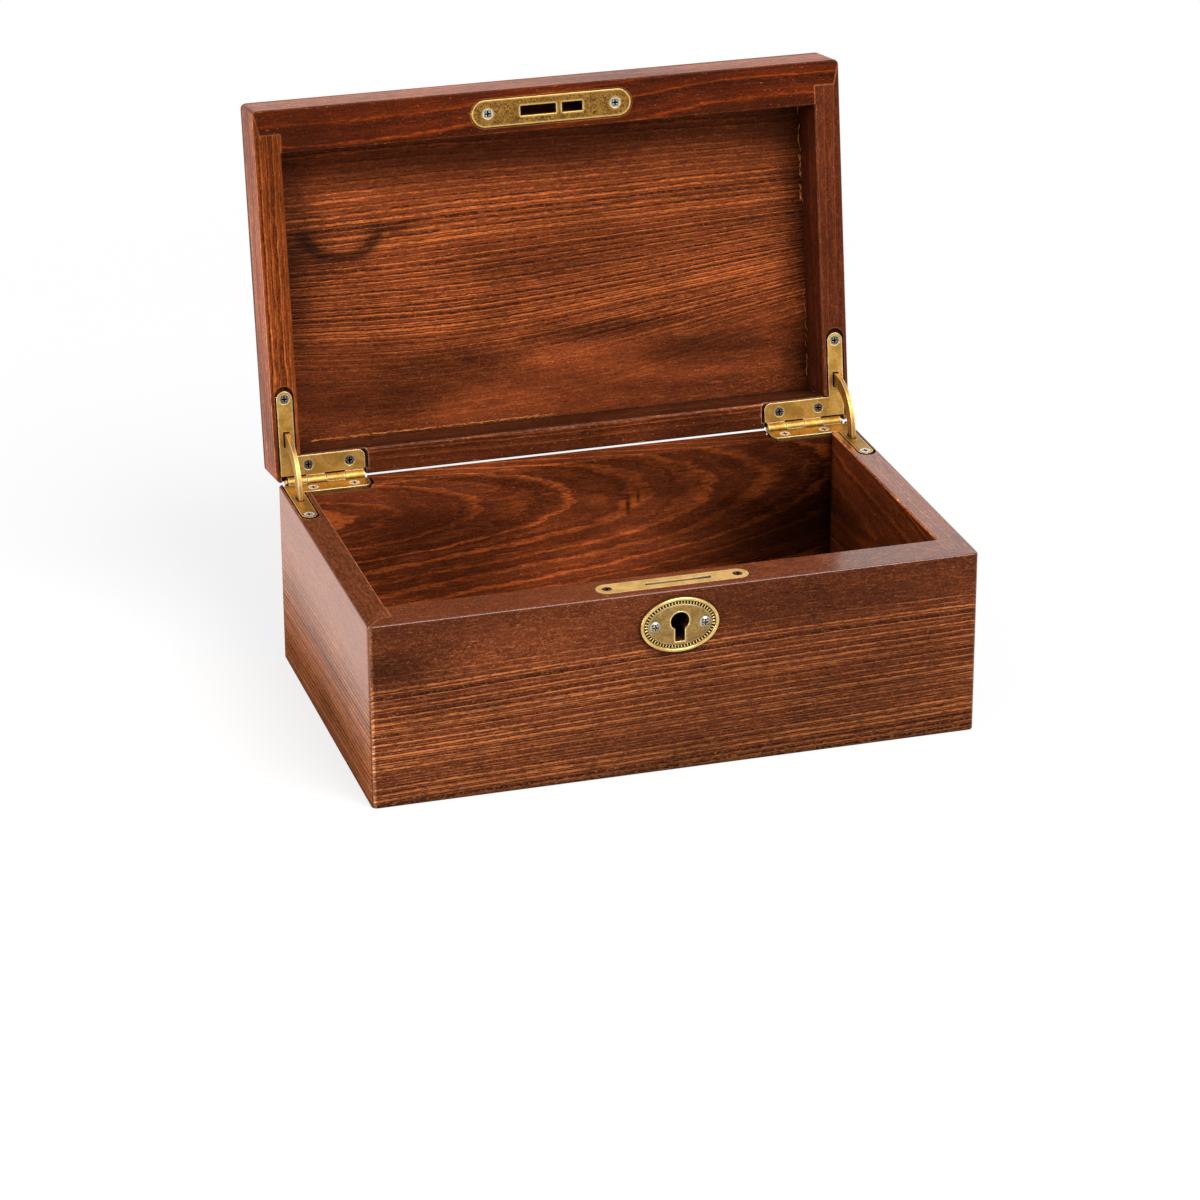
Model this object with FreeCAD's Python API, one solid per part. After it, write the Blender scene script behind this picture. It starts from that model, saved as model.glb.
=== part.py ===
import FreeCAD, Part
import math
import os

from FreeCAD import Vector

# A small hinged wooden box with its lid open: rabbeted and mitred case and lid frame,
# brass quadrant hinges with curved stays, a mortised hook lock and an oval escutcheon.
# Millimetres, +Z up, origin at the centre of the underside of the case, front towards -Y.

# Case boards
case_width = 220.0
case_depth = 136.0
case_height = 68.0
side_wall = 10.0
front_wall = 16.0
back_wall = 10.0
bottom_thickness = 5.0
bottom_rebate = 5.0
bottom_play = 0.15

# Lid boards
lid_gap = 0.4
lid_overhang = 0.4
lid_rail_height = 17.6
lid_panel_thickness = 4.0
lid_side_rail = 9.6
lid_front_rail = 16.2
lid_back_rail = 9.6
open_angle = 98.0

# Corner joints: depth of the shoulder behind the outer face, and run of the mitre
case_front_shoulder = 6.8
case_front_mitre = 6.5
lid_front_shoulder = 9.0
lid_front_mitre = 2.0
back_shoulder = 4.0
back_mitre = 4.0

# Rounded and eased edges
corner_round = 2.0
edge_round = 0.6
lid_top_round = 1.2
rim_ease = 0.5

# Hinge leaves, barrel and pin
hinge_setback = 0.1
barrel_radius = 2.0
pin_radius = 0.9
pin_play = 0.04
pin_head_radius = 1.35
pin_head_length = 0.9
knuckle_count = 4
knuckle_gap = 0.2
leaf_thickness = 1.5
leaf_inset = 1.5
leaf_length = 31.5
leaf_reach = 34.0
leaf_corner = 2.6
back_arm_reach = 9.6
side_arm_width = 5.8
barrel_outer_step = 2.0
barrel_inner_step = 0.7
barrel_clear = 0.4
mortise_margin = 0.6
tip_margin = 1.2
leaf_screw_inner = 5.8
leaf_screw_outer = 21.2

# Curved stays that limit the lid
stay_inner = 13.5
stay_width = 5.0
stay_thickness = 1.5
stay_play = 0.45
stop_play = 0.15
lug_radius = 1.0
lug_overhang = 0.95
stay_tail = 0.2

# Screws
screw_head_radius = 1.85
screw_head_depth = 1.3
screw_shank_radius = 1.0
screw_length = 9.0
screw_point = 2.0
screw_play = 0.05
cross_length = 2.5
cross_width = 0.7
cross_depth = 0.8

# Lock set in the front board, and its plate under the rim
lock_thickness = 8.0
lock_wall = 1.0
lock_play = 0.4
selvedge_length = 55.0
selvedge_width = 8.2
selvedge_thickness = 1.6
selvedge_screw_inset = 3.9
slit_left = 10.0
slit_margin = 1.9
slit_play = 0.25

# Swinging hook of the lock
hook_pivot_x = -9.0
hook_pivot_drop = 20.0
hook_width = 2.2
hook_thickness = 1.4
hook_clear = 0.4
hook_sink = 0.55
hook_room = 1.0
hub_room = 2.0
hook_arm_width = 7.0
hook_arm_angle = 46.0
hook_tail_angle = 8.0
hook_swing = 31.0
hub_radius = 4.5
hub_length = 3.0
post_radius = 2.0
post_play = 0.05
talon_radius = 3.6
spring_thickness = 0.4
spring_width = 4.0
spring_play = 0.3
rivet_radius = 0.9
rivet_head_radius = 1.5
rivet_wall_gap = 0.3
rivet_lower_reach = 20.0

# Strike plate on the lid
strike_length = 60.0
strike_width = 10.0
strike_thickness = 1.5
strike_screw_inset = 6.0
strike_slot_width = 3.6
long_slot_left = 11.8
long_slot_right = 1.7
bridge_width = 2.2
short_slot_margin = 1.5
plate_margin = 0.3
hook_pocket_margin = 1.0

# Escutcheon and keyhole in the front board
escutcheon_width = 28.5
escutcheon_height = 20.4
escutcheon_thickness = 1.0
escutcheon_rim_width = 0.9
escutcheon_rim_height = 1.5
escutcheon_drop = 12.6
escutcheon_screw_inset = 5.25
key_drop = 11.3
key_radius = 3.35
key_slot_width = 3.5
key_slot_reach = 7.5
key_wood_margin = 0.4
key_pilot_radius = 1.2
oval_screw_head_radius = 1.9
oval_screw_head_height = 0.7
oval_screw_length = 3.2

# Room by which every cutting tool runs past the face it cuts, and how near, as a share
# of a rounding, an edge lies to the place where it is looked for
overrun = 1.0
edge_share = 0.01

# Places that the sizes above lead to
half_width = case_width / 2
front_y = -case_depth / 2
back_y = case_depth / 2
lid_half_width = half_width + lid_overhang
lid_front_y = front_y - lid_overhang
lid_rim_z = case_height + lid_gap
lid_panel_z = lid_rim_z + lid_rail_height
lid_top_z = lid_panel_z + lid_panel_thickness
axis_y = back_y + hinge_setback
axis_z = case_height + lid_gap / 2
leaf_outer_x = half_width - leaf_inset
leaf_inner_x = leaf_outer_x - leaf_length
leaf_back_y = axis_y - barrel_radius - barrel_clear
barrel_outer_x = leaf_outer_x - barrel_outer_step
barrel_inner_x = leaf_inner_x + barrel_inner_step
stay_x = leaf_outer_x - side_arm_width / 2
stay_outer = stay_inner + stay_width
stay_middle = stay_inner + stay_width / 2
lug_drop = lid_gap / 2 + leaf_thickness + stop_play + lug_radius
lug_angle = math.degrees(math.asin(lug_drop / stay_middle))
stay_end_angle = lug_angle + math.degrees((lug_radius + stay_tail) / stay_middle)
lock_y = front_y + front_wall / 2
lock_front_y = lock_y - lock_thickness / 2
lock_back_y = lock_y + lock_thickness / 2
lock_top_z = case_height - selvedge_thickness
hook_z = case_height - hook_pivot_drop
bridge_right = long_slot_right + bridge_width
hook_inner = math.hypot(bridge_right - hook_pivot_x,
                        hook_pivot_drop + lid_gap + strike_thickness) + hook_clear
hook_outer = hook_inner + hook_width
hook_rest_angle = math.degrees(math.acos((hook_pivot_drop - hook_sink) / hook_outer))
hook_tail = hook_rest_angle + hook_arm_angle + hook_tail_angle
hook_top = hook_outer * math.cos(math.radians(hook_rest_angle - hook_swing)) - hook_pivot_drop
lock_left = hub_radius + hub_room + lock_wall - hook_pivot_x
lock_right = hook_pivot_x + hook_outer + hook_room + lock_wall
rivet_inset = lock_wall + rivet_wall_gap + rivet_head_radius
hook_low_z = hook_z + hook_outer * math.cos(math.radians(hook_tail))
lock_bottom_z = hook_low_z - hook_room - rivet_head_radius - rivet_inset
neck_at_case = math.sqrt(hook_outer ** 2 - (hook_pivot_drop - selvedge_thickness) ** 2)
neck_at_lid = math.sqrt(hook_outer ** 2 - (hook_pivot_drop + lid_gap) ** 2)
slit_right = hook_pivot_x + neck_at_case + slit_margin
short_slot_right = hook_pivot_x + neck_at_lid + short_slot_margin
selvedge_screw_pitch = selvedge_length - 2 * selvedge_screw_inset
strike_screw_pitch = strike_length - 2 * strike_screw_inset
escutcheon_screw_pitch = escutcheon_width - 2 * escutcheon_screw_inset
key_z = case_height - key_drop
escutcheon_z = case_height - escutcheon_drop


def block(x0, x1, y0, y1, z0, z1):
    return Part.makeBox(x1 - x0, y1 - y0, z1 - z0, Vector(x0, y0, z0))


def prism(points, z0, z1):
    corners = [Vector(x, y, z0) for x, y in points]
    face = Part.Face(Part.makePolygon(corners + corners[:1]))
    return face.extrude(Vector(0, 0, z1 - z0))


def rod(radius, start, end):
    run = end.sub(start)
    return Part.makeCylinder(radius, run.Length, start, run)


def joined(shapes):
    return shapes[0].multiFuse(shapes[1:]).removeSplitter()


def mirrored(shape):
    return shape.mirror(Vector(0, 0, 0), Vector(1, 0, 0))


def both_hands(shapes):
    return shapes + [mirrored(shape) for shape in shapes]


def rounded_at(shape, x, y, radius):
    # Rounds the upright edge that stands at x, y.
    def upright(edge):
        middle = edge.CenterOfMass
        return abs(middle.x - x) + abs(middle.y - y) < radius * edge_share and len(edge.Vertexes) == 2
    return shape.makeFillet(radius, [edge for edge in shape.Edges if upright(edge)])


def eased_box(x0, x1, y0, y1, z0, z1, upper_round):
    # The outer form of a case or lid, with rounded corners and edges.
    body = block(x0, x1, y0, y1, z0, z1)
    upright = [e for e in body.Edges if abs(e.Vertexes[0].Z - e.Vertexes[1].Z) > (z1 - z0) / 2]
    body = body.makeFillet(corner_round, upright)
    low_edge = corner_round * edge_share
    lower = [e for e in body.Edges if e.BoundBox.ZMax < z0 + low_edge]
    body = body.makeFillet(edge_round, lower)
    upper = [e for e in body.Edges if e.BoundBox.ZMin > z1 - low_edge]
    return body.makeFillet(upper_round, upper)


def frame_outlines(half, y0, y1, front, back, side, front_shoulder, front_mitre):
    # Plans of the four boards of a frame whose corners are rabbeted mitres.
    front_step = y0 + front_shoulder
    back_step = y1 - back_shoulder
    inner = half - side
    front_left = [(-inner, y0 + front), (-inner, front_step), (-half + front_mitre, front_step), (-half, y0)]
    back_left = [(-half, y1), (-half + back_mitre, back_step), (-inner, back_step), (-inner, y1 - back)]
    front_right = [(-x, y) for x, y in reversed(front_left)]
    back_right = [(-x, y) for x, y in reversed(back_left)]
    left_side = front_left[1:] + back_left[:3]
    return {
        "front": front_left + front_right,
        "back": back_right + back_left,
        "left": left_side,
        "right": [(-x, y) for x, y in reversed(left_side)],
    }


def rim_chamfer(half, y0, y1, rim_z, inward_z):
    # A tapered block that eases the inner edge of a rim.
    def ring(grow, z):
        corners = [
            Vector(-half - grow, y0 - grow, z),
            Vector(half + grow, y0 - grow, z),
            Vector(half + grow, y1 + grow, z),
            Vector(-half - grow, y1 + grow, z),
        ]
        return Part.makePolygon(corners + corners[:1])
    return Part.makeLoft([ring(rim_ease, rim_z), ring(0, inward_z)], True, True)


def stadium(length, width, y, z0, z1):
    reach = (length - width) / 2
    ends = [rod(width / 2, Vector(x, y, z0), Vector(x, y, z1)) for x in (-reach, reach)]
    return joined([block(-reach, reach, y - width / 2, y + width / 2, z0, z1)] + ends)


def on_front(shape):
    # Turns a shape that was drawn flat, with +Z outwards, to face the front.
    return shape.rotated(Vector(0, 0, 0), Vector(1, 0, 0), 90)


def cross_recess(top_z):
    depth_z = top_z - cross_depth
    long_half = cross_length / 2
    thin_half = cross_width / 2
    return joined([
        block(-long_half, long_half, -thin_half, thin_half, depth_z, top_z + overrun),
        block(-thin_half, thin_half, -long_half, long_half, depth_z, top_z + overrun),
    ])


def flat_screw():
    # Countersunk screw that points down, with its head's top at the origin.
    point_z = -screw_length + screw_point
    neck = Vector(0, 0, -screw_head_depth)
    head = Part.makeCone(screw_shank_radius, screw_head_radius, screw_head_depth, neck)
    shank = rod(screw_shank_radius, Vector(0, 0, point_z), neck)
    point = Part.makeCone(0, screw_shank_radius, screw_point, Vector(0, 0, -screw_length))
    return joined([head, shank, point]).cut(cross_recess(0))


def flat_screw_hole():
    # Countersink and pilot hole for a flat screw, wider than it by the screw's play.
    grown_head = screw_head_radius + screw_play
    grown_shank = screw_shank_radius + screw_play
    sink = Part.makeCone(grown_shank, grown_head, screw_head_depth, Vector(0, 0, -screw_head_depth))
    mouth = rod(grown_head, Vector(0, 0, 0), Vector(0, 0, overrun))
    hole = rod(grown_shank, Vector(0, 0, -screw_length), Vector(0, 0, 0))
    return joined([sink, mouth, hole])


def on_case(shape, place):
    x, y = place
    return shape.translated(Vector(x, y, case_height))


def on_lid(shape, place):
    x, y = place
    upturned = shape.rotated(Vector(0, 0, 0), Vector(1, 0, 0), 180)
    return upturned.translated(Vector(x, y, lid_rim_z))


def leaf_plan(margin, end_margin, z0, z1):
    # L-shaped plan of the right hinge's leaf. A margin turns it into its mortise.
    arm_radius = side_arm_width / 2 + margin
    tip_y = axis_y - leaf_reach + side_arm_width / 2 - end_margin
    inner_x = leaf_inner_x - end_margin
    front_edge = axis_y - back_arm_reach - margin
    corner = (inner_x, front_edge)
    side_arm = joined([
        block(stay_x - arm_radius, stay_x + arm_radius, tip_y, leaf_back_y, z0, z1),
        rod(arm_radius, Vector(stay_x, tip_y, z0), Vector(stay_x, tip_y, z1)),
    ])
    back_arm = block(inner_x, stay_x + arm_radius, front_edge, leaf_back_y, z0, z1)
    return rounded_at(joined([side_arm, back_arm]), *corner, leaf_corner)


def knuckle_spans(first):
    # Ends of every second knuckle, counted from the outer end of the barrel.
    pitch = (barrel_outer_x - barrel_inner_x) / knuckle_count
    spans = []
    for k in range(first, knuckle_count, 2):
        outer = barrel_outer_x - k * pitch
        spans.append((outer - pitch + knuckle_gap / 2, outer - knuckle_gap / 2))
    return spans


def leaf_screw_places():
    back_arm_y = (leaf_back_y + axis_y - back_arm_reach) / 2
    tip_y = axis_y - leaf_reach + side_arm_width / 2
    return [
        (leaf_inner_x + leaf_screw_inner, back_arm_y),
        (leaf_inner_x + leaf_screw_outer, back_arm_y),
        (stay_x, tip_y),
    ]


def stay_slot(z0, z1):
    half = stay_thickness / 2 + stay_play
    return block(stay_x - half, stay_x + half, axis_y - stay_outer - stay_play,
                 axis_y - stay_inner + stay_play, z0, z1)


def hinge_leaf(z0, z1, first_knuckle, seat):
    # Right-hand leaf between z0 and z1 with its share of the barrel.
    pieces = [leaf_plan(0, 0, z0, z1)]
    for x0, x1 in knuckle_spans(first_knuckle):
        pieces.append(block(x0, x1, leaf_back_y - barrel_clear, axis_y, z0, z1))
        pieces.append(rod(barrel_radius, Vector(x0, axis_y, axis_z), Vector(x1, axis_y, axis_z)))
    leaf = joined(pieces)
    bore_start = Vector(barrel_inner_x - overrun, axis_y, axis_z)
    bore_end = Vector(barrel_outer_x + overrun, axis_y, axis_z)
    leaf = leaf.cut(rod(pin_radius + pin_play, bore_start, bore_end))
    leaf = leaf.cut(stay_slot(z0 - overrun, z1 + overrun))
    return leaf.cut([seat(flat_screw_hole(), place) for place in leaf_screw_places()])


def hinge_pin():
    start = Vector(barrel_inner_x, axis_y, axis_z)
    end = Vector(barrel_outer_x, axis_y, axis_z)
    tip = Vector(barrel_outer_x + pin_head_length, axis_y, axis_z)
    head = rod(pin_head_radius, end, tip)
    head = head.makeFillet(pin_head_length / 2, [e for e in head.Edges if e.BoundBox.XMin > end.x])
    return joined([rod(pin_radius, start, end), head])


def hinge_stay():
    # Curved plate about the hinge axis, with a cross lug near each end as its stop.
    sweep = open_angle + 2 * stay_end_angle
    half = stay_thickness / 2
    plate = Part.makeCylinder(stay_outer, stay_thickness, Vector(0, 0, -half), Vector(0, 0, 1), sweep)
    plate = plate.cut(rod(stay_inner, Vector(0, 0, -stay_thickness), Vector(0, 0, stay_thickness)))
    lug_half = half + lug_overhang
    pieces = [plate]
    for angle in (stay_end_angle - lug_angle, sweep - stay_end_angle + lug_angle):
        lug_x = stay_middle * math.cos(math.radians(angle))
        lug_y = stay_middle * math.sin(math.radians(angle))
        pieces.append(rod(lug_radius, Vector(lug_x, lug_y, -lug_half), Vector(lug_x, lug_y, lug_half)))
    stay = joined(pieces)
    stay = stay.rotated(Vector(0, 0, 0), Vector(0, 0, 1), 180 - open_angle - stay_end_angle)
    stay = stay.rotated(Vector(0, 0, 0), Vector(1, 1, 1), 120)
    return stay.translated(Vector(stay_x, axis_y, axis_z))


def stay_pocket_reach():
    # How deep the stay swings into the wood, and how far back, when the lid is shut.
    swing = math.radians(open_angle / 2 + stay_end_angle)
    depth = stay_outer * math.sin(swing) + stay_play
    rear = axis_y - stay_inner * math.cos(swing) + stay_play
    return depth, rear


def hinge_cuts(z0, z1, rim_z, into):
    # Mortise, barrel groove and stay pocket of the right hinge; into is -1 down, +1 up.
    depth, rear = stay_pocket_reach()
    pocket_half = stay_thickness / 2 + lug_overhang + stay_play
    pocket_front = axis_y - stay_outer - stay_play
    groove_start = barrel_inner_x - overrun
    groove_end = barrel_outer_x + pin_head_length + overrun
    groove_line = [Vector(x, axis_y, axis_z) for x in (groove_start, groove_end)]
    low_z, high_z = sorted((rim_z - into * overrun, axis_z + into * depth))
    return [
        leaf_plan(mortise_margin, tip_margin, z0, z1),
        block(groove_start, groove_end, leaf_back_y - overrun, back_y + overrun, z0, z1),
        rod(barrel_radius + barrel_clear, *groove_line),
        block(stay_x - pocket_half, stay_x + pocket_half, pocket_front, rear, low_z, high_z),
    ]


def plate_screw_places(pitch):
    return [(-pitch / 2, lock_y), (pitch / 2, lock_y)]


def selvedge():
    plate = stadium(selvedge_length, selvedge_width, lock_y, lock_top_z, case_height)
    slit_half = hook_thickness / 2 + slit_play
    slit = block(-slit_left, slit_right, lock_y - slit_half, lock_y + slit_half,
                 lock_top_z - overrun, case_height + overrun)
    holes = [on_case(flat_screw_hole(), place) for place in plate_screw_places(selvedge_screw_pitch)]
    return plate.cut([slit] + holes)


def keyhole(grow, length):
    # Keyhole drawn flat about the centre of its round, as deep as length along +Z.
    half = key_slot_width / 2 + grow
    foot_y = -key_slot_reach + key_slot_width / 2
    return joined([
        rod(key_radius + grow, Vector(0, 0, 0), Vector(0, 0, length)),
        block(-half, half, foot_y, 0, 0, length),
        rod(half, Vector(0, foot_y, 0), Vector(0, foot_y, length)),
    ])


def keyhole_at(grow, start_y, end_y):
    hole = on_front(keyhole(grow, end_y - start_y))
    return hole.translated(Vector(0, end_y, key_z))


def rivet_places():
    left = -lock_left + rivet_inset
    return [
        (left, lock_top_z - rivet_inset),
        (lock_right - rivet_inset, lock_top_z - rivet_inset),
        (left + rivet_lower_reach, lock_bottom_z + rivet_inset),
    ]


def rivet_rods(radius, y0, y1):
    return [rod(radius, Vector(x, y0, z), Vector(x, y1, z)) for x, z in rivet_places()]


def lock_case():
    outer = block(-lock_left, lock_right, lock_front_y + lock_wall, lock_back_y, lock_bottom_z, lock_top_z)
    hollow = block(-lock_left + lock_wall, lock_right - lock_wall, lock_front_y, lock_back_y - lock_wall,
                   lock_bottom_z + lock_wall, lock_top_z + overrun)
    tools = rivet_rods(rivet_radius, lock_front_y, lock_back_y + overrun)
    tools.append(rod(post_radius, Vector(hook_pivot_x, lock_y, hook_z),
                     Vector(hook_pivot_x, lock_back_y + overrun, hook_z)))
    tools.append(rod(key_pilot_radius, Vector(0, lock_y, key_z), Vector(0, lock_back_y + overrun, key_z)))
    return outer.cut([hollow] + tools)


def lock_cap():
    cap = block(-lock_left, lock_right, lock_front_y, lock_front_y + lock_wall, lock_bottom_z, lock_top_z)
    tools = rivet_rods(rivet_radius, lock_front_y - overrun, lock_y)
    tools.append(rod(post_radius, Vector(hook_pivot_x, lock_front_y - overrun, hook_z),
                     Vector(hook_pivot_x, lock_y, hook_z)))
    tools.append(keyhole_at(0, lock_front_y - overrun, lock_y))
    return cap.cut(tools)


def lock_rivets():
    shanks = rivet_rods(rivet_radius, lock_front_y, lock_back_y)
    collars = rivet_rods(rivet_head_radius, lock_front_y + lock_wall, lock_back_y - lock_wall)
    return [joined([shank, collar]) for shank, collar in zip(shanks, collars)]


def hook_post():
    front_end = Vector(hook_pivot_x, lock_front_y, hook_z)
    return rod(post_radius, front_end, Vector(hook_pivot_x, lock_back_y, hook_z))


def hook_bolt():
    # Claw, arm and hub drawn flat about the pivot, in the withdrawn position.
    half = hook_thickness / 2
    claw = Part.makeCylinder(hook_outer, hook_thickness, Vector(0, 0, -half), Vector(0, 0, 1),
                             hook_tail - hook_rest_angle)
    claw = claw.cut(rod(hook_inner, Vector(0, 0, -hook_thickness), Vector(0, 0, hook_thickness)))
    claw = claw.rotated(Vector(0, 0, 0), Vector(0, 0, 1), 90 - hook_tail)
    arm = block(0, hook_inner + hook_width / 2, -hook_arm_width / 2, hook_arm_width / 2, -half, half)
    arm = arm.rotated(Vector(0, 0, 0), Vector(0, 0, 1), 90 - hook_rest_angle - hook_arm_angle)
    hub = rod(hub_radius, Vector(0, 0, -hub_length / 2), Vector(0, 0, hub_length / 2))
    talon = rod(talon_radius, Vector(-hook_pivot_x, hook_pivot_drop - key_drop, -hub_length),
                Vector(-hook_pivot_x, hook_pivot_drop - key_drop, hub_length))
    talon = talon.rotated(Vector(0, 0, 0), Vector(0, 0, 1), -hook_swing)
    bore = rod(post_radius + post_play, Vector(0, 0, -hub_length), Vector(0, 0, hub_length))
    hook = joined([claw, arm, hub]).cut([talon, bore])
    return on_front(hook).translated(Vector(hook_pivot_x, lock_y, hook_z))


def lock_spring():
    # Leaf spring that presses up under the hub, held against the end of the lock case.
    end_x = -lock_left + lock_wall
    top_z = hook_z - hub_radius - spring_play
    y0 = lock_y - spring_width / 2
    y1 = lock_y + spring_width / 2
    tip_x = hook_pivot_x + hub_radius
    blade = block(end_x, tip_x, y0, y1, top_z - spring_thickness, top_z)
    leg = block(end_x, end_x + spring_thickness, y0, y1, top_z - spring_thickness, hook_z)
    return joined([blade, leg])


def strike_slots(z0, z1):
    half = strike_slot_width / 2
    return [
        block(-long_slot_left, long_slot_right, lock_y - half, lock_y + half, z0, z1),
        block(bridge_right, short_slot_right, lock_y - half, lock_y + half, z0, z1),
    ]


def strike_plate():
    top_z = lid_rim_z + strike_thickness
    plate = stadium(strike_length, strike_width, lock_y, lid_rim_z, top_z)
    holes = [on_lid(flat_screw_hole(), place) for place in plate_screw_places(strike_screw_pitch)]
    return plate.cut(strike_slots(lid_rim_z - overrun, top_z + overrun) + holes)


def ellipse(width, height, z0, z1):
    curve = Part.Ellipse(Vector(0, 0, z0), width / 2, height / 2)
    return Part.Face(Part.Wire(curve.toShape())).extrude(Vector(0, 0, z1 - z0))


def escutcheon():
    field_width = escutcheon_width - 2 * escutcheon_rim_width
    field_height = escutcheon_height - 2 * escutcheon_rim_width
    plate = ellipse(escutcheon_width, escutcheon_height, 0, escutcheon_rim_height)
    field_top = escutcheon_rim_height + overrun
    plate = plate.cut(ellipse(field_width, field_height, escutcheon_thickness, field_top))
    hole_bottom = Vector(0, escutcheon_drop - key_drop, -overrun)
    tools = [keyhole(0, escutcheon_rim_height + 2 * overrun).translated(hole_bottom)]
    for x in oval_screw_xs():
        tools.append(rod(screw_shank_radius + screw_play, Vector(x, 0, -overrun),
                         Vector(x, 0, escutcheon_rim_height)))
    return on_front(plate.cut(tools)).translated(Vector(0, front_y, escutcheon_z))


def oval_screw_xs():
    return (-escutcheon_screw_pitch / 2, escutcheon_screw_pitch / 2)


def oval_screw():
    # Short round-headed screw drawn flat, with the underside of its head at the origin.
    height = oval_screw_head_height
    reach = (oval_screw_head_radius ** 2 + height ** 2) / (2 * height)
    dome = Part.makeSphere(reach, Vector(0, 0, height - reach))
    head = dome.common(block(-reach, reach, -reach, reach, 0, reach))
    shank = rod(screw_shank_radius, Vector(0, 0, -oval_screw_length), Vector(0, 0, 0))
    return joined([head, shank]).cut(cross_recess(height))


def oval_screws():
    screw = on_front(oval_screw())
    face_y = front_y - escutcheon_thickness
    return [screw.translated(Vector(x, face_y, escutcheon_z)) for x in oval_screw_xs()]


def bottom_board():
    grow = bottom_rebate - bottom_play
    inner = half_width - side_wall + grow
    return block(-inner, inner, front_y + front_wall - grow, back_y - back_wall + grow, 0, bottom_thickness)


def case_cuts():
    # Everything that is cut out of the boards of the case.
    inner = half_width - side_wall
    inner_front = front_y + front_wall
    inner_back = back_y - back_wall
    right_hinge = hinge_cuts(case_height - leaf_thickness, case_height + overrun, case_height, -1)
    right_hinge += [on_case(flat_screw_hole(), place) for place in leaf_screw_places()]
    cuts = both_hands(right_hinge)
    cuts.append(block(-inner - bottom_rebate, inner + bottom_rebate, inner_front - bottom_rebate,
                      inner_back + bottom_rebate, -overrun, bottom_thickness))
    cuts.append(rim_chamfer(inner, inner_front, inner_back, case_height, case_height - rim_ease))
    cuts.append(stadium(selvedge_length + 2 * plate_margin, selvedge_width + 2 * plate_margin, lock_y,
                        lock_top_z, case_height + overrun))
    cuts.append(block(-lock_left - lock_play, lock_right + lock_play, lock_front_y - lock_play,
                      lock_back_y + lock_play, lock_bottom_z - lock_play, case_height + overrun))
    cuts += [on_case(flat_screw_hole(), place) for place in plate_screw_places(selvedge_screw_pitch)]
    cuts.append(keyhole_at(key_wood_margin, front_y - overrun, lock_y))
    for x in oval_screw_xs():
        cuts.append(rod(screw_shank_radius + screw_play, Vector(x, front_y - overrun, escutcheon_z),
                        Vector(x, front_y + oval_screw_length, escutcheon_z)))
    return cuts


def lid_cuts():
    # Everything that is cut out of the rails and panel of the shut lid.
    inner = lid_half_width - lid_side_rail
    inner_front = lid_front_y + lid_front_rail
    inner_back = back_y - lid_back_rail
    right_hinge = hinge_cuts(lid_rim_z - overrun, lid_rim_z + leaf_thickness, lid_rim_z, 1)
    right_hinge += [on_lid(flat_screw_hole(), place) for place in leaf_screw_places()]
    cuts = both_hands(right_hinge)
    cuts.append(rim_chamfer(inner, inner_front, inner_back, lid_rim_z, lid_rim_z + rim_ease))
    strike_top_z = lid_rim_z + strike_thickness
    cuts.append(stadium(strike_length + 2 * plate_margin, strike_width + 2 * plate_margin, lock_y,
                        lid_rim_z - overrun, strike_top_z))
    pocket_half = strike_slot_width / 2 + hook_pocket_margin
    pocket_top_z = case_height + hook_top + hook_room
    cuts.append(block(-long_slot_left - hook_pocket_margin, short_slot_right + hook_pocket_margin,
                      lock_y - pocket_half, lock_y + pocket_half, lid_rim_z, pocket_top_z))
    cuts += [on_lid(flat_screw_hole(), place) for place in plate_screw_places(strike_screw_pitch)]
    return cuts


def case_boards():
    form = eased_box(-half_width, half_width, front_y, back_y, 0, case_height, edge_round)
    outlines = frame_outlines(half_width, front_y, back_y, front_wall, back_wall, side_wall,
                              case_front_shoulder, case_front_mitre)
    cuts = case_cuts()
    return {side: prism(plan, 0, case_height).common(form).cut(cuts) for side, plan in outlines.items()}


def lid_boards():
    form = eased_box(-lid_half_width, lid_half_width, lid_front_y, back_y, lid_rim_z, lid_top_z,
                     lid_top_round)
    outlines = frame_outlines(lid_half_width, lid_front_y, back_y, lid_front_rail, lid_back_rail,
                              lid_side_rail, lid_front_shoulder, lid_front_mitre)
    cuts = lid_cuts()
    boards = {
        side: prism(plan, lid_rim_z, lid_panel_z).common(form).cut(cuts)
        for side, plan in outlines.items()
    }
    panel = block(-lid_half_width, lid_half_width, lid_front_y, back_y, lid_panel_z, lid_top_z)
    boards["panel"] = panel.common(form).cut(cuts)
    return boards


def opened(shape):
    # Swings a piece of the shut lid open about the hinge axis.
    return shape.rotated(Vector(0, axis_y, axis_z), Vector(1, 0, 0), -open_angle)


def screw_set(seat, places):
    return [seat(flat_screw(), place) for place in places]


os.makedirs("parts", exist_ok=True)


def save(name, solids):
    shape = solids[0] if len(solids) == 1 else Part.makeCompound(solids)
    shape.exportStep("parts/" + name + ".step")
    print(name, len(shape.Solids), "solids", round(shape.Volume), "mm3", shape.isValid())


case = case_boards()
save("case_front", [case["front"]])
save("case_back", [case["back"]])
save("case_left_side", [case["left"]])
save("case_right_side", [case["right"]])
save("case_bottom", [bottom_board()])

lid = lid_boards()
save("lid_front_rail", [opened(lid["front"])])
save("lid_back_rail", [opened(lid["back"])])
save("lid_left_rail", [opened(lid["left"])])
save("lid_right_rail", [opened(lid["right"])])
save("lid_top_panel", [opened(lid["panel"])])

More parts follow.
